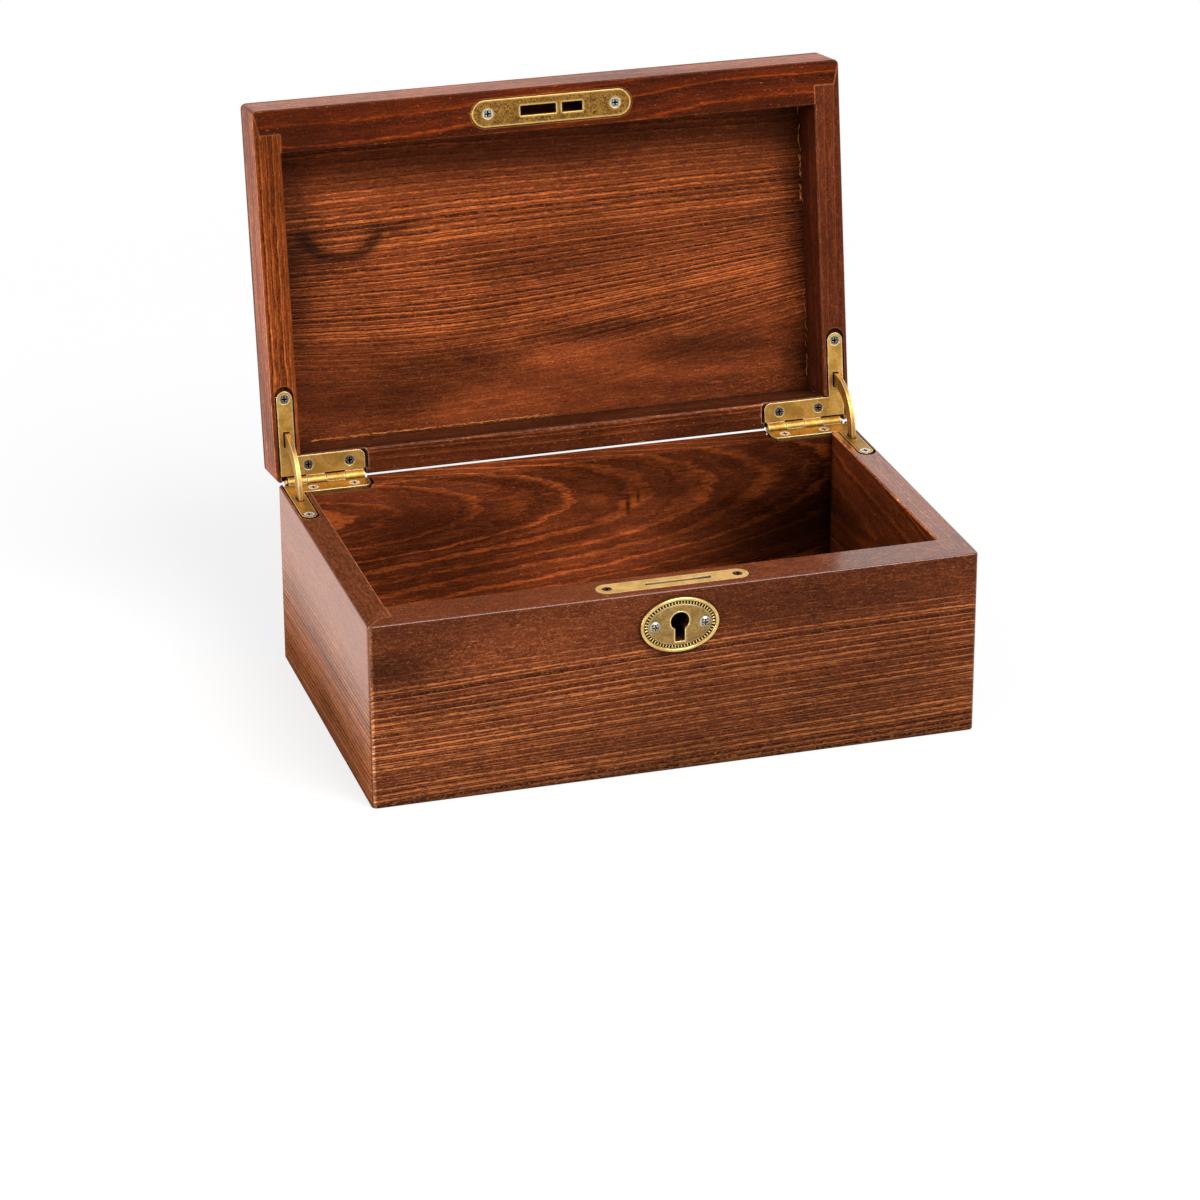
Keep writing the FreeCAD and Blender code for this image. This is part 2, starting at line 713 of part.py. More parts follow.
case_leaf = hinge_leaf(case_height - leaf_thickness, case_height, 0, on_case)
lid_leaf = hinge_leaf(lid_rim_z, lid_rim_z + leaf_thickness, 1, on_lid)
case_leaf_screws = screw_set(on_case, leaf_screw_places())
lid_leaf_screws = screw_set(on_lid, leaf_screw_places())
for hand, handed in (("left", mirrored), ("right", lambda shape: shape)):
    save(hand + "_hinge_case_leaf", [handed(case_leaf)])
    save(hand + "_hinge_lid_leaf", [opened(handed(lid_leaf))])
    save(hand + "_hinge_pin", [handed(hinge_pin())])
    save(hand + "_hinge_stay", [handed(hinge_stay())])
    save(hand + "_case_leaf_screws", [handed(screw) for screw in case_leaf_screws])
    save(hand + "_lid_leaf_screws", [opened(handed(screw)) for screw in lid_leaf_screws])

save("lock_selvedge", [selvedge()])
save("lock_selvedge_screws", screw_set(on_case, plate_screw_places(selvedge_screw_pitch)))
save("lock_case", [lock_case()])
save("lock_cap", [lock_cap()])
save("lock_rivets", lock_rivets())
save("lock_hook_post", [hook_post()])
save("lock_hook_bolt", [hook_bolt()])
save("lock_spring", [lock_spring()])
save("strike_plate", [opened(strike_plate())])
save("strike_plate_screws", [opened(s) for s in screw_set(on_lid, plate_screw_places(strike_screw_pitch))])
save("escutcheon", [escutcheon()])
save("escutcheon_screws", oval_screws())
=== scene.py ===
import bpy
import bmesh
import math
from mathutils import Matrix, Vector


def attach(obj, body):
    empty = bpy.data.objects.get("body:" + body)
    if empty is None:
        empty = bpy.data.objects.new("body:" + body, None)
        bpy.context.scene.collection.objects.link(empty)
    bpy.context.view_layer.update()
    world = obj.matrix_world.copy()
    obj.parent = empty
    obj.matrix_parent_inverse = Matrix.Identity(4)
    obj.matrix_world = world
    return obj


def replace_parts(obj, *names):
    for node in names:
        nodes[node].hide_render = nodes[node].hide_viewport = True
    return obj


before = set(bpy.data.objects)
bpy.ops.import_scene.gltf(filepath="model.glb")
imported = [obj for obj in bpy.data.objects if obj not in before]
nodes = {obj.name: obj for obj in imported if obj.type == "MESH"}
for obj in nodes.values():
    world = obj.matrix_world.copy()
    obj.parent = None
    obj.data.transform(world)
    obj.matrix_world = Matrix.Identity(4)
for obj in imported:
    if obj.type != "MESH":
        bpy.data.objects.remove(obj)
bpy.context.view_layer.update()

mm = 0.001  # metres
print("frame loaded:", len(nodes), "nodes")


def newNode(tree, kind, **settings):
    node = tree.nodes.new(kind)
    for key, value in settings.items():
        setattr(node, key, value)
    return node


def feed(tree, socket, value):
    if isinstance(value, bpy.types.NodeSocket):
        tree.links.new(value, socket)
    else:
        socket.default_value = value


def calc(tree, operation, a, b=0.0, c=0.0, clamp=False):
    node = newNode(tree, "ShaderNodeMath", operation=operation, use_clamp=clamp)
    for socket, value in zip(node.inputs, (a, b, c)):
        feed(tree, socket, value)
    return node.outputs[0]


def times(tree, a, b, clamp=False):
    return calc(tree, "MULTIPLY", a, b, clamp=clamp)


def ease(tree, value, low, high, toLow=0.0, toHigh=1.0):
    node = newNode(tree, "ShaderNodeMapRange", interpolation_type="SMOOTHSTEP")
    for socket, item in zip(node.inputs, (value, low, high, toLow, toHigh)):
        feed(tree, socket, item)
    return node.outputs[0]


def tint(tree, share, a, b, mode="MIX"):
    node = newNode(tree, "ShaderNodeMix", data_type="RGBA", blend_type=mode)
    feed(tree, node.inputs[0], share)
    for socket, value in zip((node.inputs[6], node.inputs[7]), (a, b)):
        feed(tree, socket, (*value, 1.0) if isinstance(value, tuple) else value)
    return node.outputs[2]


def darkened(tree, colour, tone):
    grey = newNode(tree, "ShaderNodeCombineColor")
    for socket in grey.inputs:
        feed(tree, socket, tone)
    return tint(tree, 1.0, colour, grey.outputs[0], "MULTIPLY")


def stretched(tree, vector, scale, shift=(0.0, 0.0, 0.0)):
    node = newNode(tree, "ShaderNodeMapping")
    feed(tree, node.inputs["Vector"], vector)
    node.inputs["Scale"].default_value = scale
    node.inputs["Location"].default_value = shift
    return node.outputs[0]


def cloud(tree, points, scale, shift=(0.0, 0.0, 0.0), detail=2.0, rough=0.5, twist=0.0):
    node = newNode(tree, "ShaderNodeTexNoise")
    feed(tree, node.inputs["Vector"], stretched(tree, points, scale, shift))
    node.inputs["Scale"].default_value = 1.0
    node.inputs["Detail"].default_value = detail
    node.inputs["Roughness"].default_value = rough
    node.inputs["Distortion"].default_value = twist
    return node.outputs["Fac"]


def swing(tree, noise):
    # noise about zero
    return calc(tree, "SUBTRACT", noise, 0.5)


def facing(tree, way):
    # 1 where the surface looks along the direction
    place = newNode(tree, "ShaderNodeTexCoord")
    dot = newNode(tree, "ShaderNodeVectorMath", operation="DOT_PRODUCT")
    feed(tree, dot.inputs[0], place.outputs["Normal"])
    dot.inputs[1].default_value = Vector(way).normalized()
    return dot.outputs["Value"]


def softNormal(tree, radius):
    node = newNode(tree, "ShaderNodeBevel", samples=4)
    node.inputs["Radius"].default_value = radius
    return node.outputs[0]


def edgeShare(tree, radius):
    # how far the surface bends within the radius: 0 on flats, more along edges
    flat = newNode(tree, "ShaderNodeNewGeometry")
    dot = newNode(tree, "ShaderNodeVectorMath", operation="DOT_PRODUCT")
    feed(tree, dot.inputs[0], softNormal(tree, radius))
    feed(tree, dot.inputs[1], flat.outputs["Normal"])
    return calc(tree, "SUBTRACT", 1.0, dot.outputs["Value"])


# ambient occlusion: the finishes paint shade into creases and corners with it
def openness(tree, reach):
    node = newNode(tree, "ShaderNodeAmbientOcclusion", samples=6)
    node.inputs["Distance"].default_value = reach
    return node.outputs["AO"]


def roughen(tree, shader, height, strength, depth, normal=None):
    bump = newNode(tree, "ShaderNodeBump")
    bump.inputs["Strength"].default_value = strength
    bump.inputs["Distance"].default_value = depth
    feed(tree, bump.inputs["Height"], height)
    if normal:
        feed(tree, bump.inputs["Normal"], normal)
    feed(tree, shader.inputs["Normal"], bump.outputs[0])


def bareMaterial(name):
    material = bpy.data.materials.new(name)
    material.use_nodes = True
    tree = material.node_tree
    shader = tree.nodes["Principled BSDF"]
    return material, tree, shader


def dress(node, material):
    mesh = nodes[node].data
    mesh.materials.clear()
    mesh.materials.append(material)


# Hinge line in mm, and the angle that shuts the lid again, so its grain runs true to its boards
hingeLine = Vector((0.0, 68.1, 68.2))
shutTurn = math.radians(98.0)


def boardSpace(tree, onLid, grain, across):
    # millimetres along the grain, across the face and through the board
    place = newNode(tree, "ShaderNodeTexCoord")
    turned = newNode(tree, "ShaderNodeMapping")
    feed(tree, turned.inputs["Vector"], place.outputs["Object"])
    turned.inputs["Scale"].default_value = (1 / mm, 1 / mm, 1 / mm)
    if onLid:
        turn = Matrix.Rotation(shutTurn, 3, "X")
        turned.inputs["Rotation"].default_value = (shutTurn, 0.0, 0.0)
        turned.inputs["Location"].default_value = hingeLine - turn @ hingeLine
    apart = newNode(tree, "ShaderNodeSeparateXYZ")
    feed(tree, apart.inputs[0], turned.outputs[0])
    order = [grain, across, *(axis for axis in "XYZ" if axis not in (grain, across))]
    along, face, deep = (apart.outputs[axis] for axis in order)
    together = newNode(tree, "ShaderNodeCombineXYZ")
    for socket, value in zip(together.inputs, (along, face, deep)):
        feed(tree, socket, value)
    return {"along": along, "face": face, "deep": deep, "points": together.outputs[0]}


# One stained board: where its pith lies in mm, how its rings run, its tones, wear, painted shade in creases, and its
# lacquer.
# Blots are patches of stain and of painted light and shade, each given by its middle and reach along and across the
# board, and its force.
# A side is a direction, a tone multiplied onto that side (painted light and shade, and lighter wear on inner rim
# edges) and a speckle.
plainBoard = {
    "onLid": False, "grain": "X", "across": "Z", "seed": 0.0,
    "pithAcross": 20.0, "pithDeep": 30.0, "taper": 0.02, "slope": 0.0, "fan": 0.0, "sweep": None,
    "pitch": 2.4, "warp": 3.0, "ripple": 0.30, "wiggle": 0.15, "jag": 0.20, "drift": 0.9,
    "lineFrom": 0.70, "lineForce": 1.5, "grooveForce": 1.3, "between": 0.3, "beading": 0.35,
    "plainReach": 0.0, "calm": None, "faintTop": None,
    "ground": (0.180, 0.043, 0.0140), "shade": (0.058, 0.0135, 0.0052), "line": (0.55, 0.165, 0.045),
    "clouds": 1.3, "patches": 0.5, "grit": 0.55, "curls": 0.22, "speckFrom": 0.71,
    "worn": (0.56, 0.19, 0.055), "wear": 0.45, "wearBreak": 0.6, "scuff": None,
    "dirt": 0.35, "dirtReach": 0.006, "stainAndShadingBlots": (), "loop": None, "sides": (),
    "shine": 0.06, "rough": 0.42, "coat": 0.9, "coatSide": (0.0, 0.0, 1.0), "coatRun": None, "coatEdges": 1.0,
}
# Noises that a board is made of, stretched per mm along, across and through it
woodNoise = {
    "fibre": dict(scale=(0.09, 1.6, 1.6), detail=3.0, rough=0.65),
    "patch": dict(scale=(0.012, 0.035, 0.035), shift=(7.0, 3.0, 1.0), detail=3.0, rough=0.6, twist=0.4),
    "bend": dict(scale=(0.007, 0.022, 0.022), detail=1.0),
    "shiver": dict(scale=(0.07, 0.35, 0.35), detail=3.0),
    "quick": dict(scale=(0.30, 0.40, 0.40), shift=(2.0, 8.0, 4.0)),
    "beads": dict(scale=(0.40, 1.1, 1.1), rough=0.6),
    "stain": dict(scale=(0.014, 0.035, 0.035), detail=4.0, rough=0.6, twist=0.8),
    "grit": dict(scale=(0.8, 1.5, 1.5), rough=0.6),
    "pore": dict(scale=(0.16, 1.9, 1.9), shift=(9.0, 5.0, 7.0), detail=1.0),
    "dash": dict(scale=(0.13, 1.6, 1.6), shift=(5.0, 8.0, 2.0), detail=1.0),
    "curl": dict(scale=(0.45, 1.0, 1.0), shift=(6.0, 2.0, 9.0), detail=1.0, twist=1.0),
    "speck": dict(scale=(0.9, 1.7, 1.7), shift=(3.0, 1.0, 8.0), detail=1.0),
    "nick": dict(scale=(0.55, 1.0, 1.0), shift=(1.0, 4.0, 6.0), rough=0.6),
    "mottle": dict(scale=(0.30, 1.2, 1.2), shift=(4.0, 7.0, 2.0), detail=3.0, rough=0.65),
}
# Where each mark sets in and is full, and how strongly it colours the wood
woodCuts = {
    "pore": (0.60, 0.70), "dash": (0.60, 0.74), "curl": (0.005, 0.05), "nick": (0.64, 0.74), "mottle": (0.30, 0.70),
    "bead": (0.36, 0.62), "fade": (0.32, 0.60), "patch": (0.25, 0.75), "stainAndShadingBlot": (0.15, 1.0), "streak": (0.05, 0.40),
    "side": (0.80, 0.97), "dirt": (0.25, 0.95), "rub": (0.06, 0.22), "edgeCoat": (0.04, 0.16), "coat": (0.25, 0.7),
}
woodShares = {
    "stain": 1.6, "level": 0.80, "fibre": 0.9, "pore": 0.5, "dash": 0.30, "speck": 0.6, "nick": 0.75, "streak": 0.70,
}
# One growth ring in shares of its width: the light line, the fainter line between, and the groove before the line
ringShape = {
    "lineFull": 0.86, "lineFade": 0.90, "faintFrom": 0.70, "faintShift": 0.3,
    "grooveRise": (-0.30, -0.08), "grooveFall": (-0.04, 0.10), "yearPace": 0.31,
}
# What is left of the lines at their weakest
leastLines = {"ring": 0.45, "patch": 0.55, "pith": 0.03, "calm": 0.10, "topLine": 0.25, "topGroove": 0.50}
# The mineral streak in shares of its reach
streakShape = {
    "ragged": 0.5, "open": (-0.7, 0.3), "openLeast": 0.10,
    "tailSlope": 0.16, "tailLift": 0.30, "tailStart": (0.6, 1.1), "tailEnd": (1.2, 3.2), "tailForce": 0.8,
}
seedStep = Vector((131.0, 57.0, 83.0))
speckWidth = 0.07
nickRun = (0.16, -0.10)
stainAndShadingBlotRagged = 0.9
wornEdge = 0.0010
rubLevel = 0.55
woodRough = {"fibre": 0.25, "pore": 0.12, "coat": 0.14}
woodRelief = {"line": 0.8, "pore": -0.9}
woodBump = {"strength": 0.25, "depth": 0.0003}


def cut(tree, label, value, low=0.0, high=1.0):
    return ease(tree, value, *woodCuts[label], low, high)


def offMiddle(tree, board, spot):
    # how far a point lies from the middle of a spot, in shares of the spot's reach
    middleAlong, middleAcross, reachAlong, reachAcross = spot
    x = calc(tree, "DIVIDE", calc(tree, "SUBTRACT", board["along"], middleAlong), reachAlong)
    y = calc(tree, "DIVIDE", calc(tree, "SUBTRACT", board["face"], middleAcross), reachAcross)
    return x, y, calc(tree, "SQRT", calc(tree, "MULTIPLY_ADD", x, x, times(tree, y, y)))


def ringCount(tree, look, board, noise):
    # number of the growth ring at each point, about a pith line, bent by slow and quick noise
    along, face, deep = board["along"], board["face"], board["deep"]
    offPith = calc(tree, "SUBTRACT", face, look["pithAcross"])
    offPith = times(tree, offPith, calc(tree, "MULTIPLY_ADD", along, look["fan"], 1.0))
    offPith = calc(tree, "MULTIPLY_ADD", along, look["slope"], offPith)
    if look["sweep"]:
        curve, middle, low, high = look["sweep"]
        run = calc(tree, "SUBTRACT", along, middle)
        lift = times(tree, times(tree, run, run), ease(tree, face, low, high, 0.0, curve))
        offPith = calc(tree, "ADD", offPith, lift)
    through = calc(tree, "ADD", deep, calc(tree, "MULTIPLY_ADD", along, look["taper"], -look["pithDeep"]))
    ring = calc(tree, "SQRT", calc(tree, "MULTIPLY_ADD", offPith, offPith, times(tree, through, through)))
    for label, size in (("bend", "warp"), ("shiver", "ripple"), ("quick", "wiggle")):
        ring = calc(tree, "MULTIPLY_ADD", swing(tree, noise[label]), 2.0 * look[size], ring)
    count = calc(tree, "DIVIDE", ring, look["pitch"])
    year = newNode(tree, "ShaderNodeTexNoise", noise_dimensions="1D")
    feed(tree, year.inputs["W"], calc(tree, "MULTIPLY_ADD", count, ringShape["yearPace"], look["seed"]))
    count = calc(tree, "MULTIPLY_ADD", year.outputs["Fac"], look["drift"], count)
    return calc(tree, "MULTIPLY_ADD", swing(tree, noise["fibre"]), look["jag"], count), offPith


def ringMarks(tree, look, board, noise):
    # a light line on each ring with a dark groove before it and a faint line between
    count, offPith = ringCount(tree, look, board, noise)
    start, full, fade = look["lineFrom"], ringShape["lineFull"], ringShape["lineFade"]
    part = calc(tree, "FRACT", count)
    line = times(tree, ease(tree, part, start, full), ease(tree, part, fade, 1.0, 1.0, 0.0))
    half = calc(tree, "FRACT", calc(tree, "MULTIPLY_ADD", count, 2.0, ringShape["faintShift"]))
    faint = ease(tree, half, ringShape["faintFrom"], full)
    faint = times(tree, faint, ease(tree, half, fade, 1.0, look["between"], 0.0))
    line = calc(tree, "MAXIMUM", line, faint)
    rise, fall = ([start + share for share in ringShape[end]] for end in ("grooveRise", "grooveFall"))
    groove = times(tree, ease(tree, part, *rise), ease(tree, part, *fall, 1.0, 0.0))

    # the marks are broken into beads, and fade on poor rings, in patches, by the pith and where the board is calm
    chance = newNode(tree, "ShaderNodeTexWhiteNoise", noise_dimensions="1D")
    feed(tree, chance.inputs["W"], calc(tree, "ADD", calc(tree, "FLOOR", count), look["seed"]))
    left = ease(tree, chance.outputs["Value"], 0.0, 1.0, leastLines["ring"], 1.0)
    left = times(tree, left, cut(tree, "bead", noise["beads"], look["beading"]))
    left = times(tree, left, cut(tree, "fade", noise["patch"], leastLines["patch"]))
    if look["plainReach"]:
        away, reach = calc(tree, "ABSOLUTE", offPith), look["plainReach"]
        left = times(tree, left, ease(tree, away, 0.5 * reach, reach, leastLines["pith"], 1.0))
    if look["calm"]:
        left = times(tree, left, ease(tree, board["face"], *look["calm"], 1.0, leastLines["calm"]))
    line, groove = times(tree, line, left), times(tree, groove, left)
    if look["faintTop"]:
        line = times(tree, line, ease(tree, board["face"], *look["faintTop"], leastLines["topLine"], 1.0))
        groove = times(tree, groove, ease(tree, board["face"], *look["faintTop"], leastLines["topGroove"], 1.0))
    line = times(tree, line, look["lineForce"], clamp=True)
    return line, times(tree, groove, look["grooveForce"], clamp=True)


def stainColour(tree, look, board, noise, line, groove, pore):
    # stain clouds, ring marks, open pores, light dashes, fine curls and pale specks
    clouds = look["clouds"] * woodShares["stain"]
    ground = calc(tree, "MULTIPLY_ADD", swing(tree, noise["stain"]), clouds, woodShares["level"])
    ground = calc(tree, "MULTIPLY_ADD", swing(tree, noise["fibre"]), woodShares["fibre"], ground, clamp=True)
    dash = cut(tree, "dash", noise["dash"])
    curl = cut(tree, "curl", calc(tree, "ABSOLUTE", swing(tree, noise["curl"])), look["curls"], 0.0)
    speck = ease(tree, noise["speck"], look["speckFrom"], look["speckFrom"] + speckWidth)
    marks = [
        (groove, "shade"), (line, "line"), (times(tree, pore, woodShares["pore"]), "shade"),
        (times(tree, dash, woodShares["dash"]), "line"), (curl, "line"),
        (times(tree, speck, woodShares["speck"]), "worn"),
    ]
    if look["scuff"]:
        # small bare nicks, thickest by the edge that the board stands on
        nick = calc(tree, "ADD", noise["nick"], ease(tree, board["face"], 0.0, look["scuff"], *nickRun))
        marks.append((times(tree, cut(tree, "nick", nick), woodShares["nick"]), "worn"))
    colour = tint(tree, ground, look["shade"], look["ground"])
    for share, paint in marks:
        colour = tint(tree, share, colour, look[paint])
    return colour


def shadedAndWornColour(tree, look, noise, colour, sideMarks, edge):
    # sides with a tone of their own, mostly painted light and shade, with some wear on inner rim edges; then rubbed
    # edges
    for mark, (way, sideShadingAndWear, speckle) in zip(sideMarks, look["sides"]):
        colour = tint(tree, mark, colour, sideShadingAndWear, "MULTIPLY")
    rub = calc(tree, "MULTIPLY_ADD", calc(tree, "SUBTRACT", noise["beads"], rubLevel), look["wearBreak"], edge)
    return tint(tree, times(tree, cut(tree, "rub", rub), look["wear"]), colour, look["worn"])


def streakTone(tree, look, board, noise):
    # a dark mineral streak: an open loop with a tail along the grain
    shape = streakShape
    x, y, away = offMiddle(tree, board, look["loop"])
    away = calc(tree, "MULTIPLY_ADD", swing(tree, noise["stain"]), shape["ragged"], away)
    band = cut(tree, "streak", calc(tree, "ABSOLUTE", calc(tree, "SUBTRACT", away, 1.0)), 1.0, 0.0)
    band = times(tree, band, ease(tree, y, *shape["open"], shape["openLeast"], 1.0))
    tail = calc(tree, "MULTIPLY_ADD", x, shape["tailSlope"], calc(tree, "ADD", y, -shape["tailLift"]))
    tail = cut(tree, "streak", calc(tree, "ABSOLUTE", tail), 1.0, 0.0)
    ends = times(tree, ease(tree, x, *shape["tailStart"]), ease(tree, x, *shape["tailEnd"], shape["tailForce"], 0.0))
    band = calc(tree, "MAXIMUM", band, times(tree, tail, ends))
    return calc(tree, "MULTIPLY_ADD", band, -woodShares["streak"], 1.0)


def boardTone(tree, look, board, noise, sideMarks):
    # painted shade from ambient occlusion where boards and fittings meet, speckled sides, grit, patches, blots of
    # stain and of painted light and shade, and the streak
    tone = cut(tree, "dirt", openness(tree, look["dirtReach"]), look["dirt"])
    for mark, (way, sideShadingAndWear, speckle) in zip(sideMarks, look["sides"]):
        mottle = cut(tree, "mottle", noise["mottle"], -speckle, speckle)
        tone = times(tree, tone, calc(tree, "MULTIPLY_ADD", mark, mottle, 1.0))
    tone = times(tree, tone, calc(tree, "MULTIPLY_ADD", swing(tree, noise["grit"]), 2.0 * look["grit"], 1.0))
    tone = times(tree, tone, cut(tree, "patch", noise["patch"], 1.0 - look["patches"], 1.0 + look["patches"]))
    for *spot, force in look["stainAndShadingBlots"]:
        away = offMiddle(tree, board, spot)[2]
        away = calc(tree, "MULTIPLY_ADD", swing(tree, noise["stain"]), stainAndShadingBlotRagged, away)
        tone = times(tree, tone, cut(tree, "stainAndShadingBlot", away, 1.0 + force, 1.0))
    if look["loop"]:
        tone = times(tree, tone, streakTone(tree, look, board, noise))
    return tone


def lacquer(tree, shader, look, board, noise, edge, pore):
    # lacquer is left on the polished side and along the edges, and is rubbed thin on the rest
    coat = cut(tree, "coat", facing(tree, look["coatSide"]))
    if look["coatRun"]:
        coat = times(tree, coat, ease(tree, board["face"], *look["coatRun"]))
    coat = calc(tree, "MAXIMUM", coat, cut(tree, "edgeCoat", edge, 0.0, look["coatEdges"]))
    feed(tree, shader.inputs["Coat Weight"], times(tree, coat, look["coat"]))
    shader.inputs["Coat Roughness"].default_value = woodRough["coat"]
    rough = calc(tree, "MULTIPLY_ADD", swing(tree, noise["fibre"]), woodRough["fibre"], look["rough"])
    feed(tree, shader.inputs["Roughness"], calc(tree, "MULTIPLY_ADD", pore, woodRough["pore"], rough))
    shader.inputs["Specular IOR Level"].default_value = look["shine"]


def stainedWood(name, **look):
    look = {**plainBoard, **look}
    material, tree, shader = bareMaterial(name)
    board = boardSpace(tree, look["onLid"], look["grain"], look["across"])
    points = stretched(tree, board["points"], (1.0, 1.0, 1.0), look["seed"] * seedStep)
    noise = {label: cloud(tree, points, **sizes) for label, sizes in woodNoise.items()}
    line, groove = ringMarks(tree, look, board, noise)
    pore = cut(tree, "pore", noise["pore"])
    edge = edgeShare(tree, wornEdge)
    sideMarks = [cut(tree, "side", facing(tree, way)) for way, sideShadingAndWear, speckle in look["sides"]]
    colour = stainColour(tree, look, board, noise, line, groove, pore)
    colour = shadedAndWornColour(tree, look, noise, colour, sideMarks, edge)
    tone = boardTone(tree, look, board, noise, sideMarks)
    feed(tree, shader.inputs["Base Color"], darkened(tree, colour, tone))
    lacquer(tree, shader, look, board, noise, edge, pore)
    relief = calc(tree, "MULTIPLY_ADD", pore, woodRelief["pore"], noise["fibre"])
    roughen(tree, shader, calc(tree, "MULTIPLY_ADD", line, woodRelief["line"], relief), **woodBump)
    return material


caseBoards = {
    "case_front": dict(
        grain="X", across="Z", seed=1.0, pithAcross=66.0, pithDeep=-42.0, taper=0.01, slope=-0.035,
        pitch=2.1, warp=1.3, ripple=0.18, wiggle=0.16,
        lineFrom=0.76, lineForce=2.8, grooveForce=3.4, between=0.55, beading=0.24, plainReach=23.0,
        ground=(0.155, 0.0345, 0.0128), shade=(0.042, 0.0096, 0.0045), line=(0.67, 0.204, 0.060),
        patches=0.22, grit=0.34, curls=0.28, speckFrom=0.675, dirt=0.12, coat=1.0, scuff=8.0,
        # the front-left corner side is washed lighter as a painted highlight, the inner rim edge lighter as wear
        sides=(((-1.0, -1.0, 0.0), (2.2, 2.9, 4.0), 0.3), ((0.0, 1.0, 1.0), (2.4, 2.9, 2.9), 0.4)),
        # the last blot paints a sheen on the right end of the rim
        stainAndShadingBlots=((-98.0, 52.0, 20.0, 8.0, -0.42), (-60.0, 54.0, 44.0, 13.0, 0.36), (-95.0, 20.0, 50.0, 22.0, 0.24),
               (60.0, 58.0, 80.0, 16.0, -0.20), (80.0, 30.0, 60.0, 34.0, -0.22), (70.0, 4.0, 100.0, 12.0, -0.35),
               (-60.0, 0.0, 80.0, 8.0, -0.25), (70.0, 70.5, 70.0, 4.0, 0.45))),
    "case_back": dict(
        grain="X", across="Z", seed=2.0, pithAcross=54.0, pithDeep=37.3, taper=0.155,
        pitch=4.4, warp=5.0, ripple=1.3, jag=0.42, lineFrom=0.52, lineForce=1.7, grooveForce=0.9,
        ground=(0.165, 0.0375, 0.0130), shade=(0.068, 0.0135, 0.0048), line=(0.46, 0.100, 0.0215), clouds=1.7,
        shine=0.0, coat=0.3, coatSide=(0.0, 1.0, 0.0), coatEdges=0.0,
        # the first blot is a painted shadow of the right wall over the back's right part
        stainAndShadingBlots=((98.0, 30.0, 84.0, 80.0, -0.84), (-75.0, 60.0, 14.0, 7.0, 0.5), (-72.0, 46.0, 44.0, 30.0, -0.14),
               (20.0, 48.0, 1.6, 6.0, -0.8), (24.0, 51.0, 1.3, 4.0, -0.7), (12.0, 34.0, 54.0, 26.0, 0.80))),
    "case_left_side": dict(
        grain="Y", across="Z", seed=3.0, pithAcross=-60.0, pithDeep=-150.0, slope=0.02,
        pitch=1.8, warp=1.6, ripple=0.16, lineForce=2.2, grooveForce=2.4, calm=(26.0, 56.0),
        ground=(0.200, 0.0550, 0.0212), shade=(0.054, 0.0115, 0.0038), line=(0.28, 0.0955, 0.0390),
        clouds=0.7, patches=0.16, grit=0.40, wear=0.9, wearBreak=0.26, worn=(0.50, 0.19, 0.08),
        shine=0.0, coat=0.82, coatSide=(-1.0, 0.0, 0.0), coatRun=(10.0, 54.0, 0.0, 1.0),
        # the outer face is washed about three times lighter as painted light and sheen; the inner rim edge is lighter
        # as wear
        sides=(((0.0, 0.0, 1.0), (1.0, 1.0, 1.0), 0.34), ((-1.0, 0.0, 0.0), (3.0, 3.3, 3.2), 0.05),
               ((1.0, 0.0, 1.0), (3.4, 4.2, 4.2), 0.3)),
        # painted shade: the board darkens towards its bottom edge
        stainAndShadingBlots=((0.0, 0.0, 150.0, 50.0, -0.55),)),
    "case_right_side": dict(
        grain="Y", across="Z", seed=4.0, pithAcross=44.0, pithDeep=150.0, pitch=2.6, lineForce=0.9,
        # its tones are kept darker than the other boards' as painted shade on the inner wall
        ground=(0.098, 0.0190, 0.0052), shade=(0.036, 0.0068, 0.0020), line=(0.30, 0.068, 0.015),
        wear=0.8, wearBreak=0.3, worn=(0.50, 0.17, 0.07), coat=1.0,
        # its rim is washed lighter again with a painted sheen, its inner top edge lighter as wear
        sides=(((0.0, 0.0, 1.0), (2.2, 3.0, 4.4), 0.14), ((-1.0, 0.0, 1.0), (4.0, 5.6, 7.0), 0.3))),
    "case_bottom": dict(grain="X", across="Y", seed=5.0, pithAcross=10.0, pithDeep=-40.0, pitch=2.2),
}
